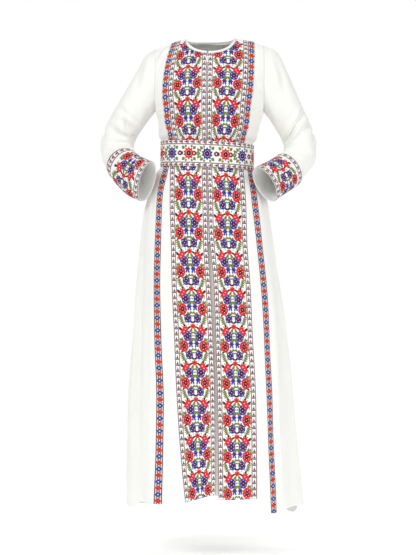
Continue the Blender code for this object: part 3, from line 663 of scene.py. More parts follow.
def setStage():
    paper = crepeFinish("paleFloor", (0.93, 0.93, 0.93), (0.92, 0.92, 0.92), 40, 0.02, 0.0)
    glow = paper.node_tree.nodes["Principled BSDF"]
    glow.inputs["Emission Color"].default_value = (1, 1, 1, 1)
    glow.inputs["Emission Strength"].default_value = stand["floorGlow"]
    corners = np.array([(-1, -1, 0), (1, -1, 0), (1, 1, 0), (-1, 1, 0)]) * stand["floorHalf"] / mm
    floor = makeMesh("floor", corners, [(0, 1, 2, 3)], [paper], smooth=False)
    floor.location.z = stand["floor"]
    for name, facts in lights.items():
        softBox(name, *facts)
    # white where the camera sees past the floor, and a softer light from all round
    world = bpy.data.worlds.new("white")
    bpy.context.scene.world = world
    world.use_nodes = True
    nodes, links = world.node_tree.nodes, world.node_tree.links
    seen = addNode(nodes, "ShaderNodeBackground", Color=(1, 1, 1, 1), Strength=1.0)
    lit = nodes["Background"]
    lit.inputs["Color"].default_value = (1, 1, 1, 1)
    lit.inputs["Strength"].default_value = stand["worldLight"]
    path = addNode(nodes, "ShaderNodeLightPath")
    mix = addNode(nodes, "ShaderNodeMixShader")
    links.new(path.outputs["Is Camera Ray"], mix.inputs["Fac"])
    links.new(lit.outputs[0], mix.inputs[1])
    links.new(seen.outputs[0], mix.inputs[2])
    links.new(mix.outputs[0], nodes["World Output"].inputs["Surface"])
    bpy.context.scene.view_settings.view_transform = "Standard"


setCamera()
setStage()
print("camera and light ready")


skirtCloth = {
    "rows": 150, "panelColumns": 24, "goreColumns": 46, "backColumns": 80, "hemRows": 3, "swell": 0.9,
    "tapeShare": 0.3,  # of a side's columns, those under the tape
    "leastIn": 1.5, "leastTape": 3, "leastOut": 4.5,  # degrees that keep seam and tape in order
}
# view, width, depth, then the path; a negative depth goes in
skirtCreases = [
    ("front", 14, -3.0, (-192, -420), (-200, -700), (-212, -1000), (-220, -1345)),
    ("front", 9, -1.5, (-174, -600), (-178, -900), (-184, -1330)),
    ("front", 12, -3.2, (176, -430), (203, -760), (224, -1060), (238, -1350)),
    ("front", 10, -2.2, (196, -860), (214, -1180), (226, -1355)),
    ("front", 9, 2.0, (186, -700), (200, -960), (208, -1345)),
    ("front", 5, -1.4, (-141, -385), (-158, -440), (-168, -520)),
    ("front", 5, -1.6, (133, -392), (150, -430), (162, -520)),
    ("front", 6, -1.2, (-152, -382), (-176, -450), (-190, -560)),
    ("back", 12, -4.2, (-128, -386), (-146, -620), (-160, -980)),
    ("back", 15, -5.0, (-84, -384), (-98, -700), (-120, -1330)),
    ("back", 10, 3.0, (-62, -384), (-74, -560), (-96, -1040)),
    ("back", 11, -3.8, (-34, -384), (-42, -620), (-58, -1100)),
    ("back", 10, -3.0, (-8, -384), (-12, -500), (-18, -760)),
    ("back", 14, -4.6, (24, -386), (34, -700), (44, -1330)),
    ("back", 9, 2.6, (46, -386), (62, -640), (72, -980)),
    ("back", 11, -3.6, (72, -388), (92, -600), (112, -1010)),
    ("back", 14, -4.8, (108, -390), (136, -700), (168, -1330)),
    ("back", 9, -2.6, (128, -392), (150, -520), (172, -800)),
    ("left", 12, -3.6, (38, -400), (52, -760), (64, -1330)),
    ("left", 10, 2.4, (-20, -420), (-30, -700), (-44, -1200)),
    ("left", 11, -3.0, (-48, -640), (-62, -900), (-84, -1340)),
    ("right", 12, -3.6, (30, -410), (46, -800), (54, -1330)),
    ("right", 10, -3.0, (84, -430), (104, -760), (120, -1180)),
    ("right", 10, 2.4, (-16, -420), (-26, -740), (-40, -1240)),
]
grounds = {}


def skirtPiece(name, part, hem, columnPlaces, turnsAt, material, node, wall=None, lift=0.0):
    share = spread(skirtCloth["rows"], 0.0012)[:, None]
    points = skirtPoint(turnsAt(share, columnPlaces[None, :]), share, hems[hem])
    points, normals = pressed(points, creases=skirtCreases, swell=skirtCloth["swell"])
    grounds[part] = {"points": points, "normals": normals, "columns": columnPlaces}
    hemRows = 0 if wall else skirtCloth["hemRows"]
    return wear(clothShell(name, points, normals, material, wall, lift, hemRows=hemRows), node)


def skirtSeamTurn(name, share):
    height = skirtHeight(share)
    return skirtTurn(skirtSeams.at(height, name), height)


# the two fronts nearly meet over the coil, and part below the zip's end
closing = {"reach": 1.5, "fadeFrom": -560, "fadeTo": -600}


def meeting(side, height):
    share = np.clip((height - closing["fadeTo"]) / (closing["fadeFrom"] - closing["fadeTo"]), 0, 1)
    return (1 if side == "Left" else -1) * closing["reach"] * share


def makeSkirt():
    made = {}
    for side, sign in (("Left", -1), ("Right", 1)):
        low = side.lower()

        def panelTurns(share, across):
            height = skirtHeight(share)
            centre = skirtSeams.at(height, "centre" + side) + meeting(side, height)
            return skirtTurn(blend(skirtSeams.at(height, "panel" + side), centre, across), height)

        def beyond(edge, share, other, least):
            # an edge's turn, kept some degrees further out than another
            turn = skirtSeamTurn(edge + side, share)
            return sign * np.maximum(np.abs(turn), np.abs(other) + skirtCloth[least])

        def goreTurns(share, across):
            seam = skirtSeamTurn("panel" + side, share)
            tapeOut = beyond("tapeOut", share, seam, "leastOut")
            front = blend(seam, tapeOut, np.clip(across / skirtCloth["tapeShare"], 0, 1))
            rest = np.clip((across - skirtCloth["tapeShare"]) / (1 - skirtCloth["tapeShare"]), 0, 1)
            return np.where(across < skirtCloth["tapeShare"], front, blend(tapeOut, sign * 90.0, rest))

        def tapeTurns(share, across):
            tapeIn = beyond("tapeIn", share, skirtSeamTurn("panel" + side, share), "leastIn")
            return blend(tapeIn, beyond("tapeOut", share, tapeIn, "leastTape"), across)

        def backTurns(share, across):
            return blend(sign * 90.0, sign * 180.0, across) + 0 * share

        made["panel" + side] = skirtPiece(
            f"skirt_front_{low}", "skirtPanel" + side, "panel" + side,
            spread(skirtCloth["panelColumns"], 0.006), panelTurns,
            groundCrepe, f"skirt_panel_{low}",
        )
        made["gore" + side] = skirtPiece(
            f"skirt_side_{low}", "skirtGore" + side, "gore" + side,
            spread(skirtCloth["goreColumns"], 0.003), goreTurns, ivoryCrepe, f"skirt_gore_{low}",
        )
        made["tape" + side] = skirtPiece(
            f"skirt_band_{low}", "skirtTape" + side, "gore" + side, tapePlaces, tapeTurns,
            groundCrepe, f"skirt_tape_{low}", garment["tapeWall"], garment["tapeLift"],
        )
        made["back" + side] = skirtPiece(
            f"skirt_rear_{low}", "skirtBack" + side, "back" + side,
            spread(skirtCloth["backColumns"], 0.002), backTurns, ivoryCrepe, f"skirt_back_{low}",
        )
    return made


underlayCut = {
    "rows": 110, "columns": 24, "half": 28, "swell": 0.5,
    "floorHalf": 8, "depth": 7, "edgeDepth": 3.4,  # how far it lies behind the fronts
}


def makeUnderlay():
    start = skirtShare(garment["zipEnd"] - 2)
    share = spread(underlayCut["rows"], 0.002)[:, None] * (1 - start) + start
    height = skirtHeight(share)
    away = spread(underlayCut["columns"], 0.01)[None, :] * 2 * underlayCut["half"] - underlayCut["half"]
    turn = skirtTurn(centreAt(skirtSeams, height) + away, height)
    points, normals = pressed(skirtPoint(turn, share, hems["underlay"]), swell=underlayCut["swell"])
    floor, edge = underlayCut["floorHalf"], underlayCut["half"]
    sunk = np.interp(np.abs(away), (floor, edge), (underlayCut["depth"], underlayCut["edgeDepth"]))
    points = points - normals * sunk[..., None]
    grounds["underlay"] = {"points": points, "normals": normals}
    # its cloth carries painted shade of the gap behind the fronts
    piece = clothShell("front_underlay", points, normals, underlayShadedCrepe, hemRows=skirtCloth["hemRows"])
    return wear(piece, "centre_front_underlay")


skirtPieces = makeSkirt()
underlay = makeUnderlay()
print("skirt sewn")


bodiceCloth = {
    "rows": 110, "panelColumns": 26, "sideColumns": 24, "shoulderColumns": 12, "neckColumns": 54,
    "swell": 0.7,
    "shoulderPull": 0.35,  # how much closer the rows are near the shoulder
    "tapeShare": 0.35,  # of a side front's columns, those under the tape
    "tapeStart": 6,  # row at which the tape comes out of the belt
    "chartRows": 120, "chartColumns": 40,  # of the grid that the flowers are laid on
}
bodiceCreases = [
    ("front", 6, -2.5, (-150, -60), (-138, -30), (-122, -12)),
    ("front", 5, -2.0, (-146, -90), (-134, -56), (-120, -34)),
    ("front", 5, 1.8, (-150, -74), (-137, -44), (-124, -24)),
    ("front", 4, -2.4, (156, -217), (142, -212), (122, -206)),
    ("front", 4, -2.2, (-154, -215), (-144, -213), (-128, -212)),
    ("front", 10, -2.6, (152, -130), (140, -134), (128, -128)),
    ("front", 8, -2.4, (146, -300), (140, -270), (142, -240)),
    ("front", 8, -2.4, (-144, -296), (-142, -262), (-146, -232)),
    ("front", 6, -1.6, (-128, -296), (-118, -270), (-116, -246)),
    ("front", 6, -1.4, (112, -292), (104, -268), (104, -244)),
    ("back", 9, -3.2, (-110, -300), (-98, -240), (-104, -170)),
    ("back", 7, -2.4, (-60, -302), (-52, -262), (-56, -216)),
    ("back", 9, -3.0, (8, -302), (0, -250), (6, -180)),
    ("back", 7, -2.2, (52, -300), (58, -266), (52, -226)),
    ("back", 8, -2.8, (108, -300), (96, -246), (104, -182)),
    ("back", 10, -2.4, (-136, -120), (-80, -96), (-20, -92)),
    ("back", 10, -2.2, (138, -112), (86, -86), (30, -84)),
]


def panelX(side, share, across):
    centre = bodiceSeams.at(share, "centre" + side) + meeting(side, 0)
    return blend(bodiceSeams.at(share, "tapeIn" + side), centre, across)


def panelTop(side, across):
    # share at which each column of the half front meets the neckline
    top = np.ones_like(across)
    for _ in range(8):
        top = neckShare(panelX(side, top, across), neck["dropFront"])
    return top


def bodicePiece(name, part, points, node, material=ivoryCrepe, wall=None, lift=0.0):
    points, normals = pressed(points, creases=bodiceCreases, swell=bodiceCloth["swell"])
    grounds[part] = {"points": points, "normals": normals}
    return wear(clothShell(name, points, normals, material, wall, lift), node)


def bodiceShares():
    # closer together near the shoulder, where the cloth turns over
    even = spread(bodiceCloth["rows"], 0.004)
    pull = bodiceCloth["shoulderPull"]
    return np.sin(even * np.pi / 2) * pull + even * (1 - pull)


def makeBodice():
    made, necklines = {}, {}
    shares = bodiceShares()[:, None]
    for side, sign in (("Left", -1), ("Right", 1)):
        low = side.lower()
        corner, seam = neck["middle"] + sign * neck["half"], bodiceSeams.at(1.0, "tapeIn" + side)
        centre = bodiceSeams.at(1.0, "centre" + side) + meeting(side, 0)
        first = (corner - seam) / (centre - seam)
        closer = 1 - np.cos(np.linspace(0, np.pi / 2, bodiceCloth["panelColumns"]))
        across = np.concatenate([[0, 0.01], np.linspace(0.05, 0.9, 4) * first, blend(first, 1, closer)])
        across = np.insert(across, -1, 0.992)
        share = shares * panelTop(side, across)[None, :]
        points = bodicePoint(bodiceTurn(panelX(side, share, across[None, :]), share), share)
        made["panel" + side] = bodicePiece(
            f"bodice_front_{low}", "bodicePanelCut" + side, points,
            f"bodice_panel_{low}", groundCrepe,
        )
        necklines[side] = points[-1][across >= first]

        edges = [bodiceSeams.at(shares, name + side) for name in ("tapeIn", "tapeOut")]
        tapeIn, tapeOut = (bodiceTurn(edge, shares) for edge in edges)
        end = bodiceEnd(low, shares)
        end = np.where(np.abs(end) > 89.9, np.copysign(90, end), end)
        places, underTape = spread(bodiceCloth["sideColumns"], 0.01)[None, :], bodiceCloth["tapeShare"]
        taped = blend(tapeIn, tapeOut, places / underTape)
        rest = blend(tapeOut, end, (places - underTape) / (1 - underTape))
        points = bodicePoint(np.where(places < underTape, taped, rest), shares)
        made["side" + side] = bodicePiece(
            f"bodice_side_front_{low}", "bodiceSide" + side, points, f"bodice_side_{low}"
        )
        rows = slice(bodiceCloth["tapeStart"], None)
        points = bodicePoint(blend(tapeIn[rows], tapeOut[rows], tapePlaces[None, :]), shares[rows])
        made["tape" + side] = bodicePiece(
            f"bodice_band_{low}", "bodiceTape" + side, points, f"bodice_tape_{low}",
            groundCrepe, garment["tapeWall"], garment["tapeLift"],
        )

        # the whole front up to the shoulder, which the flowers' rows run on as if it had no neckline
        rows, across = bodiceCloth["chartRows"], np.linspace(0, 1, bodiceCloth["chartColumns"])[None, :]
        share = np.linspace(0, 1, rows)[:, None]
        points = bodicePoint(bodiceTurn(panelX(side, share, across), share), share)[::-1]
        points, normals = pressed(points, creases=bodiceCreases, swell=bodiceCloth["swell"])
        topRow = (1 - panelTop(side, across[0])) * (rows - 1) + 0.5
        grounds["bodicePanel" + side] = {"points": points, "normals": normals, "topRow": topRow}

    shoulder = np.linspace(0, 1, bodiceCloth["shoulderColumns"])[None, :]
    ends = [180 - bodiceEnd(side, shares) for side in ("left", "right")]
    corners = [180 - bodiceTurn(neck["middle"] + sign * neck["half"], shares) for sign in (-1, 1)]
    x = np.cos(np.linspace(0, np.pi, bodiceCloth["neckColumns"])[1:-1])[None, :]
    x = neck["middle"] + neck["half"] * x
    neckTop = neckShare(x, neck["dropBack"])
    points = np.concatenate([
        bodicePoint(blend(ends[1], corners[1], shoulder), shares),
        bodicePoint(180 - bodiceTurn(x, shares * neckTop), shares * neckTop),
        bodicePoint(blend(corners[0], ends[0], shoulder), shares),
    ], axis=1)
    made["back"] = bodicePiece("bodice_rear", "bodiceBack", points, "bodice_back")
    inner = slice(bodiceCloth["shoulderColumns"] - 1, 1 - bodiceCloth["shoulderColumns"])
    path = np.concatenate([necklines["Left"][::-1], points[-1][inner][::-1], necklines["Right"]])
    made["binding"] = makeNeckBinding(path)
    return made


def smoothed(path, times):
    for _ in range(times):
        path[1:-1] = (path[:-2] + 2 * path[1:-1] + path[2:]) / 4
    return path


def makeNeckBinding(path):
    keep = [0]
    for index in range(1, len(path)):
        if np.linalg.norm(path[index] - path[keep[-1]]) > neck["spacing"]:
            keep.append(index)
    path = smoothed(path[keep], 6)
    run = unit(np.gradient(path, axis=0))
    inward = np.stack([neck["middle"] - path[:, 0], -path[:, 1], 0 * path[:, 0]], -1)
    inward = unit(inward) * neck["lean"]
    rise = inward + np.array([0, 0, neck["climb"]])
    rise -= run * (rise * run).sum(axis=1, keepdims=True)
    rise = unit(smoothed(rise, 10))
    steps = np.concatenate([[0.2], np.linspace(0.8, neck["width"] - 0.6, 6), [neck["width"]]])
    points = path[None] + rise[None] * (steps[:, None, None] - 0.1)
    roll = np.sin(np.linspace(0, np.pi, len(steps)))[:, None, None] * neck["roll"]
    points = points - inward[None] * roll
    normals = gridNormals(points, False, np.array([neck["middle"], 0, 0])[None, None])
    grounds["neckBand"] = {"points": points}
    return wear(clothShell("neck_band", points, normals, ivoryCrepe, neck["wall"]), "neck_binding")


bodicePieces = makeBodice()
print("bodice sewn")


sleeveCloth = {
    "columns": 96, "rows": 150, "swell": 0.9, "seed": {"left": 1.0, "right": 2.4},
    "seamGap": 0.3, "cuffColumns": 90, "cuffRows": 30, "cuffSwell": 0.4,
}
sleeveCreases = {
    "left": [
        ("front", 6, -1.3, (-200, -250), (-236, -216), (-274, -184)),
        ("front", 6, -1.1, (-208, -267), (-250, -240), (-296, -226)),
        ("front", 6, -1.2, (-220, -285), (-262, -270), (-306, -262)),
        ("front", 6, 0.8, (-206, -258), (-244, -228), (-286, -204)),
        ("front", 6, -1.0, (-232, -300), (-266, -300), (-300, -296)),
        ("front", 7, -5.0, (-222, -292), (-236, -262), (-250, -232)),
        ("front", 6, -3.5, (-214, -300), (-240, -284), (-266, -272), (-290, -246)),
        ("front", 6, 3.0, (-226, -300), (-250, -268), (-268, -240)),
        ("front", 7, -6.0, (-198, -262), (-188, -236), (-178, -208)),
        ("front", 6, -3.5, (-210, -262), (-222, -290)),
        ("front", 6, -3.0, (-160, -188), (-168, -212)),
        ("front", 8, -2.6, (-294, -250), (-272, -276), (-236, -290)),
        ("front", 7, -2.2, (-306, -320), (-280, -330), (-256, -334)),
        ("front", 8, -2.0, (-190, -60), (-204, -100), (-212, -150)),
        ("front", 9, 2.0, (-250, -180), (-232, -220), (-222, -270)),
        ("back", 7, -4.5, (-224, -290), (-246, -262), (-268, -246)),
        ("back", 7, -3.6, (-226, -306), (-256, -300), (-290, -306)),
        ("back", 7, -4.0, (-196, -256), (-204, -220), (-216, -190)),
        ("back", 8, -2.8, (-186, -90), (-200, -130), (-206, -170)),
        ("left", 8, -2.6, (-12, -300), (6, -270), (30, -262)),
    ],
    "right": [
        ("front", 6, -5.0, (222, -304), (240, -272), (258, -240), (274, -226)),
        ("front", 6, 2.6, (232, -306), (252, -276), (270, -250)),
        ("front", 7, -3.4, (262, -238), (276, -208), (284, -196)),
        ("front", 8, -3.0, (282, -262), (292, -248), (304, -232)),
        ("front", 7, -2.4, (236, -318), (262, -326), (290, -334)),
        ("front", 6, -2.0, (252, -308), (280, -318), (304, -330)),
        ("front", 7, -2.6, (164, -196), (176, -220), (190, -244)),
        ("front", 9, -2.2, (196, -50), (212, -100), (222, -160)),
        ("front", 9, 2.0, (240, -190), (226, -230), (216, -276)),
        ("back", 7, -4.5, (222, -298), (246, -270), (268, -250)),
        ("back", 7, -3.4, (222, -316), (256, -314), (288, -318)),
        ("back", 7, -3.8, (194, -262), (204, -226), (214, -196)),
        ("back", 8, -2.8, (186, -84), (200, -128), (208, -170)),
        ("right", 8, -2.6, (-12, -300), (6, -270), (30, -258)),
    ],
}


def tubeInside(points):
    return np.repeat(points.mean(axis=1, keepdims=True), points.shape[1], axis=1)


def makeSleeve(side):
    table = sleeveRings[side]
    angles = np.linspace(0, 2 * np.pi, sleeveCloth["columns"], endpoint=False)
    outward = sleeveCloth["seamGap"] * (-1 if side == "left" else 1)
    rings = [armholeRing(side, angles) + np.array([outward, 0, 0])]
    for ring in range(1, 12):
        run = ringMiddle(table, min(ring + 1, 11)) - ringMiddle(table, max(ring - 1, 1))
        rings.append(ringPoints(table, ring, run, angles))
    points = fineRings(rings, sleeveCloth["rows"])
    points, normals = pressed(
        points, True, tubeInside(points), sleeveCreases[side], sleeveCloth["swell"], sleeveCloth["seed"][side]
    )
    grounds["sleeve" + side] = {"points": points, "normals": normals}
    piece = clothShell(f"sleeve_cloth_{side}", points, normals, ivoryCrepe, closed=True)
    return wear(piece, f"sleeve_{side}")


def makeCuff(side):
    table, sleeve = cuffRings[side], sleeveRings[side]
    angles = np.linspace(0, 2 * np.pi, sleeveCloth["cuffColumns"], endpoint=False)
    run = ringMiddle(table, 3) - ringMiddle(table, 0)
    firstRun = ringMiddle(sleeve, 11) - ringMiddle(sleeve, 10)
    rings = [ringPoints(table, ring, run if ring else firstRun, angles) for ring in range(4)]
    points = fineRings(rings, sleeveCloth["cuffRows"])
    points[0] += unit(points[1] - points[0]) * sleeveCloth["seamGap"]
    points, normals = pressed(points, True, tubeInside(points), swell=sleeveCloth["cuffSwell"])
    grounds["cuff" + side] = {"points": points, "normals": normals}
    piece = clothShell(f"cuff_cloth_{side}", points, normals, groundCrepe, garment["facedWall"], closed=True)
    return wear(piece, f"cuff_{side}")


sleeves = {side: makeSleeve(side) for side in ("left", "right")}
cuffs = {side: makeCuff(side) for side in ("left", "right")}
print("sleeves and cuffs sewn")


beltCut = {"height": 75, "middle": -338, "out": 2.8, "columns": 200, "rows": 16, "swell": 0.3}


def makeBelt():
    turn = np.linspace(0, 360, beltCut["columns"], endpoint=False)[None, :]
    turn = (turn + 180) % 360 - 180
    down = spread(beltCut["rows"], 0.012)[:, None]
    waist = garment["waist"]
    x, y = sectionPoint(skirtSections, waist, turn, *skirtEdges(waist))
    z = beltCut["middle"] + garment["waistTilt"] * x + beltCut["height"] * (0.5 - down)
    points = np.stack([x + 0 * down, y + 0 * down, z], axis=-1)
    points, normals = pressed(points, True, swell=beltCut["swell"])
    points = points + normals * beltCut["out"]
    grounds["belt"] = {"points": points, "normals": normals}
    piece = clothShell("belt_cloth", points, normals, groundCrepe, garment["facedWall"], closed=True)
    return wear(piece, "belt")


belt = makeBelt()
print("belt sewn")

# needlework: shapes on a flat chart in mm, with x across a band, y along it and z out of the cloth
stitches = {
    "lift": 0.12, "rise": 0.55, "dot": 1.3,
    "rim": 0.7,  # where a satin shape's slope ends, as a share of its size
    "bold": 2.0,  # widens every leaf and stem
    "end": 0.8,  # no stitch is closer to a cloth's end
}


def turned(flat, degrees):
    c, s = math.cos(math.radians(degrees)), math.sin(math.radians(degrees))
    return np.asarray(flat, float) @ np.array([[c, s], [-s, c]])


def curve(path, count):
    path = np.asarray(path, float)
    long = lengthsAlong(path)
    return smoothThrough(long, path, np.linspace(0, long[-1], count))


# a petal's outline: share of the flower's radius, and turn as a share of half a petal's spread
petalShape = [
    (0, -0.7), (0.66, -1.02), (0.93, -0.98), (1.0, -0.5), (1.0, 0.5), (0.93, 0.98), (0.66, 1.02), (0, 0.7)
]
# half a leaf's outline: share of its length, and share of its width
leafShape = [(0, 0), (0.22, 0.4), (0.5, 0.5), (0.8, 0.24), (1, 0)]


class Needlework:
    def __init__(self):
        self.points, self.grain = np.zeros((0, 3)), np.zeros((0, 2))
        self.faces, self.thread = np.zeros((0, 3), int), np.zeros(0, int)

    def add(self, points, grain, faces, thread):
        self.faces = np.vstack([self.faces, np.asarray(faces) + len(self.points)])
        self.points = np.vstack([self.points, points])
        self.grain = np.vstack([self.grain, grain])
        self.thread = np.concatenate([self.thread, thread])

    def lay(self, flat, high, grain, faces, thread):
        thread = np.full(len(faces), threadNames.index(thread))
        self.add(np.column_stack([flat, high]), grain, faces, thread)

    def take(self, other, flip=False):
        self.add(other.points * (-1 if flip else 1, 1, 1), other.grain, other.faces, other.thread)

    def satin(self, outline, thread, rise=None, lie=0.0, base=0.0):
        # a low dome of stitches that lie at an angle
        rise = rise or stitches["rise"]
        outline = np.asarray(outline, float)
        count = len(outline)
        middle = outline.mean(axis=0)
        flat = np.vstack([outline, blend(middle, outline, stitches["rim"]), middle])
        high = np.repeat([base, base + rise * 0.85, base + rise], [count, count, 1])
        a = np.arange(count)
        b, tip = (a + 1) % count, np.full(count, 2 * count)
        faces = [(a, b, b + count), (a, b + count, a + count), (a + count, b + count, tip)]
        faces = np.concatenate([np.stack(face, -1) for face in faces])
        self.lay(flat, high, turned(flat, -lie), faces, thread)

    def stroke(self, path, wide, thread, rise=0.4, count=None, ends=0.35):
        # a ridge of stitches along a path
        path = curve(path, count) if count else np.asarray(path, float)
        run = unit(np.gradient(path, axis=0))
        half = np.full(len(path), wide * stitches["bold"] / 2)
        half[[0, -1]] *= ends
        side = np.column_stack([-run[:, 1], run[:, 0]]) * half[:, None]
        flat = np.vstack([path + side, path, path - side])
        high = np.repeat([0, rise, 0], len(path))
        across = np.repeat([wide / 2, 0, -wide / 2], len(path))
        grain = np.column_stack([across, np.tile(lengthsAlong(path), 3)])
        faces = []
        for low in (0, len(path)):
            a = np.arange(len(path) - 1) + low
            b = a + len(path)
            faces += [np.stack([a, a + 1, b + 1], -1), np.stack([a, b + 1, b], -1)]
        self.lay(flat, high, grain, np.concatenate(faces), thread)

    def dot(self, x, y, thread="cream", size=None, rise=1.0):
        around = np.radians(np.arange(6) * 60)
        flat = np.column_stack([np.cos(around), np.sin(around)]) * (size or stitches["dot"]) + (x, y)
        flat = np.vstack([flat, (x, y)])
        faces = [(k, (k + 1) % 6, 6) for k in range(6)]
        self.lay(flat, np.repeat([rise * 0.5, rise], [6, 1]), flat, faces, thread)

    def leaf(self, start, end, wide, thread, bend=0.0, rise=None):
        # pointed at both ends, widest nearer its start, and bent to one side
        start, end = np.array(start, float), np.array(end, float)
        run = end - start
        side = np.array([-run[1], run[0]]) / np.linalg.norm(run)
        share, half = np.array(leafShape + [(long, -across) for long, across in leafShape[-2:0:-1]]).T
        across = half * wide * stitches["bold"] + bend * np.sin(share * np.pi)
        outline = start + share[:, None] * run + across[:, None] * side
        self.satin(outline, thread, rise, math.degrees(math.atan2(run[1], run[0])) + 35)

    def star(self, x, y, radius, petals, thread, wide, spin=-90.0, centre="maroon", eye=1.5):
        for k in range(petals):
            way = np.radians(360 * k / petals + spin)
            way = np.array([np.cos(way), np.sin(way)])
            self.leaf(way * 0.9 + (x, y), way * radius + (x, y), wide, thread)
        self.dot(x, y, centre, eye)

    def flower(
        self, x, y, rx, ry, petals, thread, heart=0.42, dots=0, rays=0, spin=0.0, centre="maroon", eye=True
    ):
        half = 180 / petals
        shape = np.array(petalShape)
        shape[[0, -1], 0] = heart * 0.8
        for k in range(petals):
            middle = 360 * k / petals + spin
            way = np.radians(middle + shape[:, 1] * half)
            reach = shape[:, 0]
            outline = np.column_stack([x + rx * reach * np.cos(way), y + ry * reach * np.sin(way)])
            self.satin(outline, thread, lie=middle)
        around = np.radians(np.arange(10) * 36)
        outline = np.column_stack([x + rx * heart * np.cos(around), y + ry * heart * np.sin(around)])
        self.satin(outline, centre, stitches["rise"] * 0.8, 40, stitches["rise"] * 0.75)
        for k in range(rays):
            way = math.radians(360 * (k + 0.5) / rays + spin)
            ends = [
                (x + rx * far * math.cos(way), y + ry * far * math.sin(way)) for far in (heart * 0.6, 0.7)
            ]
            self.leaf(*ends, 2.4, centre, rise=0.8)
        ring = max(heart + 0.1, 0.5)
        for k in range(dots):
            way = math.radians(360 * (k + 0.5) / dots + spin)
            self.dot(x + rx * ring * math.cos(way), y + ry * ring * math.sin(way))
        if eye:
            self.dot(x, y, size=stitches["dot"], rise=1.5)


def mirrored(half):
    both = Needlework()
    both.take(half)
    both.take(half, flip=True)
    return both


def repeated(work, x, starts, stretch=1.0):
    # copies of one repeat down a band, each as long as its stretch says
    starts = np.asarray(starts, float)
    points = np.repeat(work.points[None], len(starts), axis=0)
    points[..., 1] = points[..., 1] * np.broadcast_to(stretch, starts.shape)[:, None] + starts[:, None]
    points[..., 0] += x
    faces = work.faces[None] + (np.arange(len(starts)) * len(work.points))[:, None, None]
    grain, thread = np.tile(work.grain, (len(starts), 1)), np.tile(work.thread, len(starts))
    made = Needlework()
    made.add(points.reshape(-1, 3), grain, faces.reshape(-1, 3), thread)
    return made


class Ground:
    # a cloth grid read in mm, across the width that the chart counts with and along its middle
    def __init__(self, points, normals, width, columns=None, closed=False, topRow=None):
        if closed:
            points, normals = (np.concatenate([grid, grid[:1]]) for grid in (points, normals))
        self.points, self.normals, self.width = points, normals, width
        self.closed, self.topRow = closed, topRow
        self.columns = np.linspace(0, 1, points.shape[1]) if columns is None else columns
        self.middle = points[:, int(np.argmin(np.abs(self.columns - 0.5)))]
        self.length = lengthsAlong(self.middle)

    def alongAt(self, height):
        return np.interp(-np.asarray(height, float), -self.middle[:, 2], self.length)

    def place(self, x, y):
        rows, columns = self.points.shape[:2]
        out = np.zeros(len(x), bool)
        if self.closed:
            y = np.mod(y, self.length[-1])
        column = np.interp(x / self.width, self.columns, np.arange(columns))
        row = np.interp(y, self.length, np.arange(rows))
        if self.topRow is not None:
            top = np.interp(column, np.arange(columns), self.topRow)
            out |= row < top
            row = np.maximum(row, top)
        r, c = np.minimum(row.astype(int), rows - 2), np.minimum(column.astype(int), columns - 2)
        t, u = (row - r)[:, None], (column - c)[:, None]
        found = []
        for grid in (self.points, self.normals):
            above, below = (blend(grid[row, c], grid[row, c + 1], u) for row in (r, r + 1))
            found.append(blend(above, below, t))
        return found[0], found[1], out


def sewOn(name, work, ground, lift):
    # lays a chart on its cloth, cut off at the cloth's ends
    x, y, z = work.points.T
    low, high = stitches["end"], ground.length[-1] - stitches["end"]
    past = np.zeros(len(y), bool) if ground.closed else (y < low) | (y > high)
    surface, normal, out = ground.place(x, y if ground.closed else np.clip(y, low, high))
    keep = ~(out | past)[work.faces].all(axis=1)
    points = surface + normal * (lift + stitches["lift"] + z)[:, None]
    faces, thread = work.faces[keep], work.thread[keep]
    a, b, c = (points[faces[:, k]] for k in range(3))
    inward = (np.cross(b - a, c - a) * normal[faces[:, 0]]).sum(axis=1) < 0
    faces[inward] = faces[inward][:, ::-1]
    used, numbers = np.unique(faces, return_inverse=True)
    kinds, which = np.unique(thread, return_inverse=True)
    materials = [threads[threadNames[kind]] for kind in kinds]
    piece = makeMesh(name, points[used], numbers.reshape(-1, 3), materials, which, work.grain[used])
    return wear(piece)


# the flowers, leaves and borders, each drawn once
floral = {
    "length": 108, "width": 110, "axis": 55, "borders": (7.0, 103.2),
    "broad": 1.03,  # widens the flowers without their borders
    "before": 90, "after": 120,  # how far the borders run past the first and last repeat
}


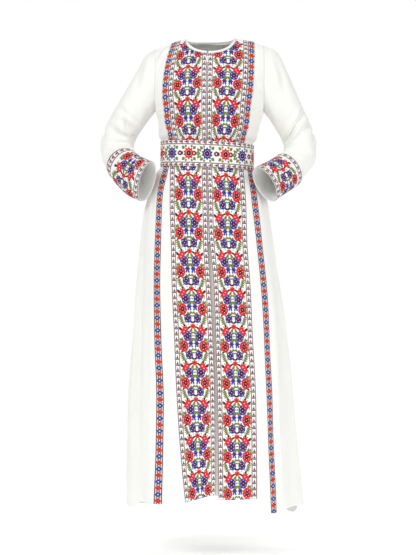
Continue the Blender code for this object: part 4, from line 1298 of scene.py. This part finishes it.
def drawFloral():
    half = Needlework()
    # two red sprays with their buds
    for angle, long in ((-165, 8.6), (-110, 8.2), (-50, 8.6), (5, 9.4), (60, 7.0), (125, 8.0)):
        way = turned((1, 0), angle)
        half.leaf(way * 0.6 + (21, 9.6), way * (long + 2) + (21, 9.6), 4.6, "red")
    for end, wide in (((30.6, 28), 5.2), ((35, 22.4), 4.6), ((34, 14), 3.8), ((20.5, 21), 3.4)):
        half.leaf((25, 16.2), end, wide, "red")
    half.dot(21, 9.6, size=1.6, rise=1.3)
    half.dot(25.2, 16.6, size=1.6, rise=1.3)
    half.leaf((23.0, 2.6), (24.2, -8), 3.4, "maroon")
    half.leaf((31.4, 13.6), (38.4, 2.6), 4.2, "maroon", 0.6)
    half.leaf((16.4, 4.4), (8.8, 6.2), 2.4, "maroon")
    half.stroke([(6.0, 1.6), (10.4, 3.6), (15.4, 7.4)], 2.6, "maroon", count=5, ends=0.8)
    half.leaf((19.0, 2.4), (17.4, -3.6), 1.7, "sage")
    half.leaf((27.6, 5.0), (31.4, -1.6), 1.7, "sage")
    half.leaf((35.2, 12.0), (39.4, 8.4), 1.6, "sage")
    half.stroke([(33.8, 16), (35.4, 21), (34.2, 30)], 1.1, "sage", count=4)
    # stems and the pair of large blue flowers
    half.stroke([(3.0, 5.6), (5.6, 11.2), (10.6, 18.4)], 2.5, "olive", count=5)
    half.leaf((2.2, 9.6), (6.8, 18.2), 1.8, "olive")
    half.stroke([(0, 18.4), (3.2, 19.0), (5.6, 23.4)], 2.8, "olive", count=4, ends=0.7)
    half.flower(16.4, 29.4, 11.8, 15.6, 9, "blue", 0.54, dots=6)
    half.stroke([(0, 37.2), (3.8, 38.2), (6.6, 44)], 3.2, "olive", count=5, ends=0.7)
    half.stroke([(0, 41.4), (2.4, 42), (3.6, 45.2)], 1.6, "olive", count=4)
    half.leaf((6.2, 42), (10.6, 46.4), 3.2, "olive")
    half.leaf((31.0, 46.6), (31.2, 33), 3.9, "olive", 0.4)
    half.leaf((33.6, 44), (37.8, 35), 3.0, "olive", 0.4)
    half.leaf((34.6, 48), (39.2, 43.4), 2.4, "olive", 0.4)
    # small blue stars between the pair of red flowers
    half.star(8.1, 51.2, 7.8, 6, "blue", 3.0, spin=-60, eye=2.1)
    half.leaf((9.8, 56), (12.4, 63), 2.6, "blue")
    half.leaf((5.4, 56), (4.4, 64), 2.6, "blue")
    half.dot(1.5, 47.2, size=1.6)
    half.flower(26.6, 59, 12.4, 17.6, 9, "red", 0.33, dots=6, rays=8, spin=12)
    half.stroke([(3.8, 65), (5.0, 70), (9.2, 74.6)], 2.5, "olive", count=5)
    half.leaf((9.8, 74.4), (13.6, 66.6), 3.0, "olive")
    half.leaf((15.4, 76.2), (11.0, 71.6), 2.6, "maroon")
    half.stroke([(0, 80.2), (2.2, 78), (5.8, 77.6)], 2.1, "olive", count=4)
    half.flower(13.2, 85.4, 10.2, 13.4, 8, "blue", 0.53, dots=4, spin=10)
    half.stroke([(0, 97.4), (3.6, 96.2), (7.4, 91.4)], 2.8, "maroon", count=5, ends=0.8)
    # ferns
    half.leaf((36.6, 76.8), (28.4, 75), 2.6, "maroon")
    half.stroke([(33.6, 76), (32.2, 88), (26.8, 104)], 1.5, "olive", count=7)
    for step in range(5):
        x, y = 33.4 - step * 1.3, 79 + step * 5
        half.leaf((x, y), (x + 8.0 - step * 0.5, y + 3.6), 1.9, "olive")
        half.leaf((x - 0.4, y + 1.4), (x - 6.6, y + 6.6), 1.8, "olive")
    # small leaves that fill the gaps
    half.leaf((37.4, 47.6), (39.6, 56), 1.9, "olive")
    half.leaf((39.2, 64), (37.2, 73.4), 1.9, "olive")
    half.leaf((1.2, 26), (3.6, 31.4), 1.9, "olive")
    half.leaf((2.8, 66), (0.6, 73), 1.9, "olive")
    half.leaf((6.2, 84), (2.2, 87.6), 1.7, "sage")
    half.leaf((23.4, 94), (19.2, 100.4), 1.7, "sage")
    half.leaf((12.6, 100.4), (10.4, 105.6), 1.7, "sage")
    half.leaf((4.4, 101), (2.2, 106), 1.7, "sage")
    half.leaf((21.2, 72.6), (24.4, 80.4), 2.2, "olive")
    half.points[:, 0] *= floral["broad"]
    work = mirrored(half)
    work.star(0, 0, 8.6, 6, "red", 3.5, centre="maroon")
    return work


chain = {"pitch": 17.4, "half": 6.4}


def drawChain():
    # a ladder of short bars, with a spike standing on each
    half = Needlework()
    side = [(chain["half"] - 0.5 + 0.25 * math.cos(k * math.pi), k * chain["pitch"] / 4) for k in range(5)]
    half.stroke(side, 1.3, "taupe", 0.3, ends=1)
    bar = [(0.2, 12.8), (2.2, 12.2), (4.4, 13.2), (5.2, 14.8), (3.2, 16.0), (0.2, 15.6)]
    half.satin(bar, "taupe", 0.4, 60)
    half.stroke([(1.6, 8.4), (2.8, 10.4), (4.4, 12.6)], 0.8, "taupe", 0.25)
    work = mirrored(half)
    spike = [(0, 1.6), (1.0, 5.0), (1.9, 9.2), (1.9, 12.0), (-1.9, 12.0), (-1.9, 9.2), (-1.0, 5.0)]
    work.satin(spike, "plum", 0.55)
    work.satin([(0, 12.8), (1.6, 14.6), (0, 16.8), (-1.6, 14.6)], "plum", 0.4, 0, 0.3)
    return work


narrow = {"width": 18, "pitch": 18}


def drawNarrow():
    # a red flower and a blue one, between two thin lines
    work = Needlework()
    for k, (thread, centre) in enumerate((("red", "plum"), ("blue", "cream"))):
        y = k * narrow["pitch"] + 9
        work.flower(9, y, 6.8, 7.2, 5, thread, 0.24, spin=-90, centre=centre, eye=False)
        for sign in (-1, 1):
            work.leaf((9 + sign * 0.8, y + 9.2), (9 + sign * 5.8, y + 6.6), 2.0, "olive")
            work.leaf((9 + sign * 0.8, y + 9.0), (9 + sign * 5.6, y + 11.6), 1.9, "olive")
    for x in (0.8, 17.2):
        wave = [(x + 0.25 * math.cos(k * math.pi), k * narrow["pitch"] / 3) for k in range(7)]
        work.stroke(wave, 1.6, "plum", 0.3, ends=1)
    return work


def drawBeltPair():
    # along the belt: a blue flower, a loop, a red flower, another loop and a scroll
    work = Needlework()
    for y, thread in ((0, "blue"), (54, "red")):
        work.star(0, y, 17.6, 10, thread, 4.6, spin=0)
        work.flower(0, y, 12.8, 12.8, 10, thread, 0.5, dots=10, rays=10, spin=18)
        for across in (-1, 1):
            for along in (-1, 1):
                start, end = (across * 11.5, y + along * 12), (across * 19, y + along * 21)
                work.leaf(start, end, 4.6, "olive", 0.8 * across * along)
                work.leaf((across * 16, y + along * 6), (across * 21, y + along * 12), 3.2, "olive")
    for y, way in ((27, 1), (70, -1)):
        ring = [(4.6 * math.cos(k * math.pi / 4), y + 4.6 * math.sin(k * math.pi / 4)) for k in range(9)]
        work.stroke(ring, 2.4, "plum", ends=1)
        work.leaf((0, y + 4 * way), (0, y + 10.5 * way), 5.2, "plum")
        work.leaf((0, y - 4.6 * way), (0, y - 8.4 * way), 3.0, "olive")
    for sign in (-1, 1):
        scroll = np.array([(0, 88), (3.0, 82.6), (7.2, 81.8), (9.6, 85.4), (7.4, 88.8), (4.9, 86.6)])
        work.stroke(scroll * (sign, 1), 2.2, "olive", count=12)
        work.leaf((sign * 8.8, 82.4), (sign * 13.2, 78.8), 2.8, "olive")
        work.leaf((sign * 2.0, 82.0), (sign * 2.6, 76.8), 2.4, "olive")
    return work


floralRepeat, chainLink, narrowPair, beltPair = drawFloral(), drawChain(), drawNarrow(), drawBeltPair()
print("charts drawn")


def addLinks(work, x, start, end):
    # the chain border from start to end, with a whole number of links
    count = round((end - start) / chain["pitch"])
    pitch = (end - start) / count
    work.take(repeated(chainLink, x, start + pitch * np.arange(count), pitch / chain["pitch"]))


# heights of the small red stars in which the repeats begin
stars = {
    "skirtLeft": (-396, -507, -619, -727, -834, -938, -1042, -1144, -1245),
    "skirtRight": (-400, -511, -622, -729, -836, -941, -1045, -1148, -1251),
    "bodice": (-86.7, -182, -290.7),
}
narrowStarts = {"skirtLeft": -1322, "skirtRight": -1334, "bodice": -60}
cuffPattern = {
    "width": 120, "axis": 62, "count": 3, "length": floral["length"], "borders": (8.2, 111.8),
    "left": 88, "right": 120,  # turn of each cuff's first repeat
}
beltPattern = {
    "width": beltCut["height"], "axis": 37.5, "count": 7, "length": 108, "borders": (7.6, 67.4)
}
outside = {  # from the middle of a cloth to its face
    "cloth": garment["wall"] / 2,
    "tape": garment["tapeLift"] + garment["tapeWall"] / 2,
    "faced": garment["facedWall"] / 2,
}


def sewPanel(name, ground, starts):
    along = ground.alongAt(starts)
    gaps = np.diff(along)
    along = np.concatenate([[along[0] - gaps[0]], along, [along[-1] + gaps[-1]]])
    gaps = np.append(np.diff(along), gaps[-1])
    work = repeated(floralRepeat, floral["axis"], along, gaps / floral["length"])
    for x in floral["borders"]:
        addLinks(work, x, along[0] - floral["before"], along[-1] + floral["after"])
    return sewOn(name, work, ground, outside["cloth"])


def sewTape(name, ground, first, blueFirst):
    start = float(ground.alongAt(first))
    pair = 2 * narrow["pitch"]
    start -= pair * math.ceil(start / pair) + (narrow["pitch"] if blueFirst else 0)
    count = math.ceil((ground.length[-1] - start) / pair)
    work = repeated(narrowPair, 0, start + pair * np.arange(count))
    return sewOn(name, work, ground, outside["tape"])


def sewRing(name, part, pattern, chart, start=0):
    # a whole number of repeats round a closed band, from a turn in degrees
    points, normals = (np.swapaxes(grounds[part][kind], 0, 1) for kind in ("points", "normals"))
    ground = Ground(points, normals, pattern["width"], closed=True)
    around = ground.length[-1]
    pitch = around / pattern["count"]
    starts = around * start / 360 + pitch * np.arange(pattern["count"])
    work = repeated(chart, pattern["axis"], starts, pitch / pattern["length"])
    for x in pattern["borders"]:
        addLinks(work, x, 0, around)
    return sewOn(name, work, ground, outside["faced"])


trims = {}
for side in ("Left", "Right"):
    low = side.lower()
    ground = Ground(width=floral["width"], **grounds["skirtPanel" + side])
    trims["skirt_front_" + low] = sewPanel("skirt_flowers_" + low, ground, stars["skirt" + side])
    ground = Ground(width=floral["width"], **grounds["bodicePanel" + side])
    trims["bodice_front_" + low] = sewPanel("bodice_flowers_" + low, ground, stars["bodice"])
    ground = Ground(width=narrow["width"], **grounds["skirtTape" + side])
    trims["skirt_band_" + low] = sewTape(
        "skirt_band_flowers_" + low, ground, narrowStarts["skirt" + side], False
    )
    tape = {kind: grounds["bodiceTape" + side][kind][::-1] for kind in ("points", "normals")}
    ground = Ground(width=narrow["width"], **tape)
    trims["bodice_band_" + low] = sewTape("bodice_band_flowers_" + low, ground, narrowStarts["bodice"], True)
    trims["cuff_cloth_" + low] = sewRing(
        "cuff_flowers_" + low, "cuff" + low, cuffPattern, floralRepeat, cuffPattern[low]
    )
trims["belt_cloth"] = sewRing("belt_flowers", "belt", beltPattern, beltPair)
print("embroidery sewn:", sum(len(piece.data.polygons) for piece in trims.values()), "triangles")


# the zip: two woven tapes, the coil's teeth and the finish of the metal parts
zipCut = {
    "tapeHalf": 9, "tapeColumns": 9, "tapeLift": -2.1, "tapeWall": 0.6,
    "bodiceRows": 60, "skirtRows": 50, "pitch": 1.5, "tooth": 1.05, "endGap": 2,
}


def zipGrid():
    # down the middle of the front, from the neck to the bottom stop
    top = panelTop("Left", np.array([1.0]))[0]
    across = np.linspace(-zipCut["tapeHalf"], zipCut["tapeHalf"], zipCut["tapeColumns"])
    rows = []
    for share in np.linspace(top - 0.006, 0.02, zipCut["bodiceRows"]):
        rows.append(bodicePoint(bodiceTurn(centreAt(bodiceSeams, share) + across, share), share))
    for share in np.linspace(0.03, skirtShare(garment["zipEnd"]), zipCut["skirtRows"]):
        height = skirtHeight(share)
        turn = skirtTurn(centreAt(skirtSeams, height) + across, height)
        rows.append(skirtPoint(turn, share, hems["underlay"]))
    points = np.array(rows)
    return points, gridNormals(points, False, bodyMiddle(points))


def framesAlong(path, normal, start, end, pitch):
    # middle, outward, run and side at even steps along a path
    long = lengthsAlong(path)
    at = np.arange(start, long[-1] - end, pitch)
    middle, out = smoothThrough(long, path, at), smoothThrough(long, normal, at)
    run = unit(smoothThrough(long, np.gradient(path, axis=0), at))
    return middle, out, run, np.cross(out, run)


def makeZip():
    points, normals = zipGrid()
    grounds["zip"] = {"points": points}
    tape = clothShell("zip_tape", points, normals, zipCloth, zipCut["tapeWall"], zipCut["tapeLift"])
    wear(tape, "zip_chain")
    column, gap = zipCut["tapeColumns"] // 2, zipCut["endGap"]
    middle, out, run, side = framesAlong(points[:, column], normals[:, column], gap, gap, zipCut["pitch"] / 2)
    sign = np.where(np.arange(len(middle)) % 2, 1.0, -1.0)[:, None]
    # a tooth's corners: across the zip, along it and out of it
    corners = [
        (-0.35, 1, -1.7), (-0.35, -1, -1.7), (2.1, -1, -1.7), (2.1, 1, -1.7),
        (-0.3, 0.8, -0.1), (-0.3, -0.8, -0.1), (1.9, -0.7, -0.8), (1.9, 0.7, -0.8),
    ]
    teeth = [
        middle + side * sign * across + run * along * zipCut["tooth"] / 2 + out * high
        for across, along, high in corners
    ]
    box = np.array([(4, 5, 6, 7), (0, 1, 5, 4), (1, 2, 6, 5), (2, 3, 7, 6), (3, 0, 4, 7), (3, 2, 1, 0)])
    faces = (box[None] + (np.arange(len(middle)) * 8)[:, None, None]).reshape(-1, 4)
    teeth = makeMesh("zip_teeth", np.stack(teeth, axis=1).reshape(-1, 3), faces, [zipCloth], smooth=False)
    return tape, wear(teeth)


zipTape, trims["zip_tape"] = makeZip()
for name in ("zip_bottom_stop", "zip_slider", "zip_pull_tab"):
    node = bpy.data.objects[name]
    for slot in node.material_slots:
        slot.material = lacquer
print("zip made")


# running stitches that hold the hems and edges
sewing = {"pitch": 3.6, "long": 2.7, "wide": 0.55, "rise": 0.32, "hem": 16, "tapeEdges": (0.12, 0.88)}


def stitchesAlong(paths):
    points, faces, grain, count = [], [], [], 0
    for path, normal, lift in paths:
        pitch = sewing["pitch"]
        middle, out, run, side = framesAlong(path, normal, pitch, pitch / 2, pitch)
        side = side * sewing["wide"] / 2
        steps = len(middle)
        for place, high in ((-0.5, 0.02), (0, sewing["rise"]), (0.5, 0.02)):
            for way in (-1, 1):
                points.append(middle + run * place * sewing["long"] + side * way + out * (lift + high))
                grain.append(np.tile((way * 0.2, place * sewing["long"]), (steps, 1)))
        first = count + np.arange(steps)
        for row in (0, 2):
            faces.append(np.stack([first + steps * k for k in (row, row + 1, row + 3, row + 2)], -1))
        count += 6 * steps
    return np.vstack(points), np.vstack(faces), np.vstack(grain)


def rowAbove(grid, distance):
    # a line across a grid, at a distance from its last row
    steps = np.linalg.norm(np.diff(grid["points"], axis=0), axis=2)
    away = np.cumsum(steps[::-1], axis=0).mean(axis=1)
    row = len(steps) - np.interp(distance, away, np.arange(1, len(away) + 1))
    r = int(row)
    return [blend(grid[kind][r], grid[kind][r + 1], row - r) for kind in ("points", "normals")]


def columnAt(grid, place):
    # a line down a grid, at a share of its columns
    column = place * (grid["points"].shape[1] - 1)
    c = int(column)
    return [blend(grid[kind][:, c], grid[kind][:, c + 1], column - c) for kind in ("points", "normals")]


def makeStitches():
    paths = []
    for side in ("Left", "Right"):
        for part in ("skirtGore", "skirtBack", "skirtPanel"):
            paths.append((*rowAbove(grounds[part + side], sewing["hem"]), outside["cloth"]))
        for part in ("skirtTape", "bodiceTape"):
            for place in sewing["tapeEdges"]:
                paths.append((*columnAt(grounds[part + side], place), outside["tape"]))
        sleeve = grounds["sleeve" + side.lower()]
        for row in (3, -4):
            ring = [np.vstack([sleeve[kind][row], sleeve[kind][row][:1]]) for kind in ("points", "normals")]
            paths.append((*ring, outside["cloth"]))
    points, faces, grain = stitchesAlong(paths)
    wear(makeMesh("seam_stitches", points, faces, [threads["ivory"]], grain=grain))


makeStitches()
print("stitches sewn")


for side in ("Left", "Right"):
    low = side.lower()
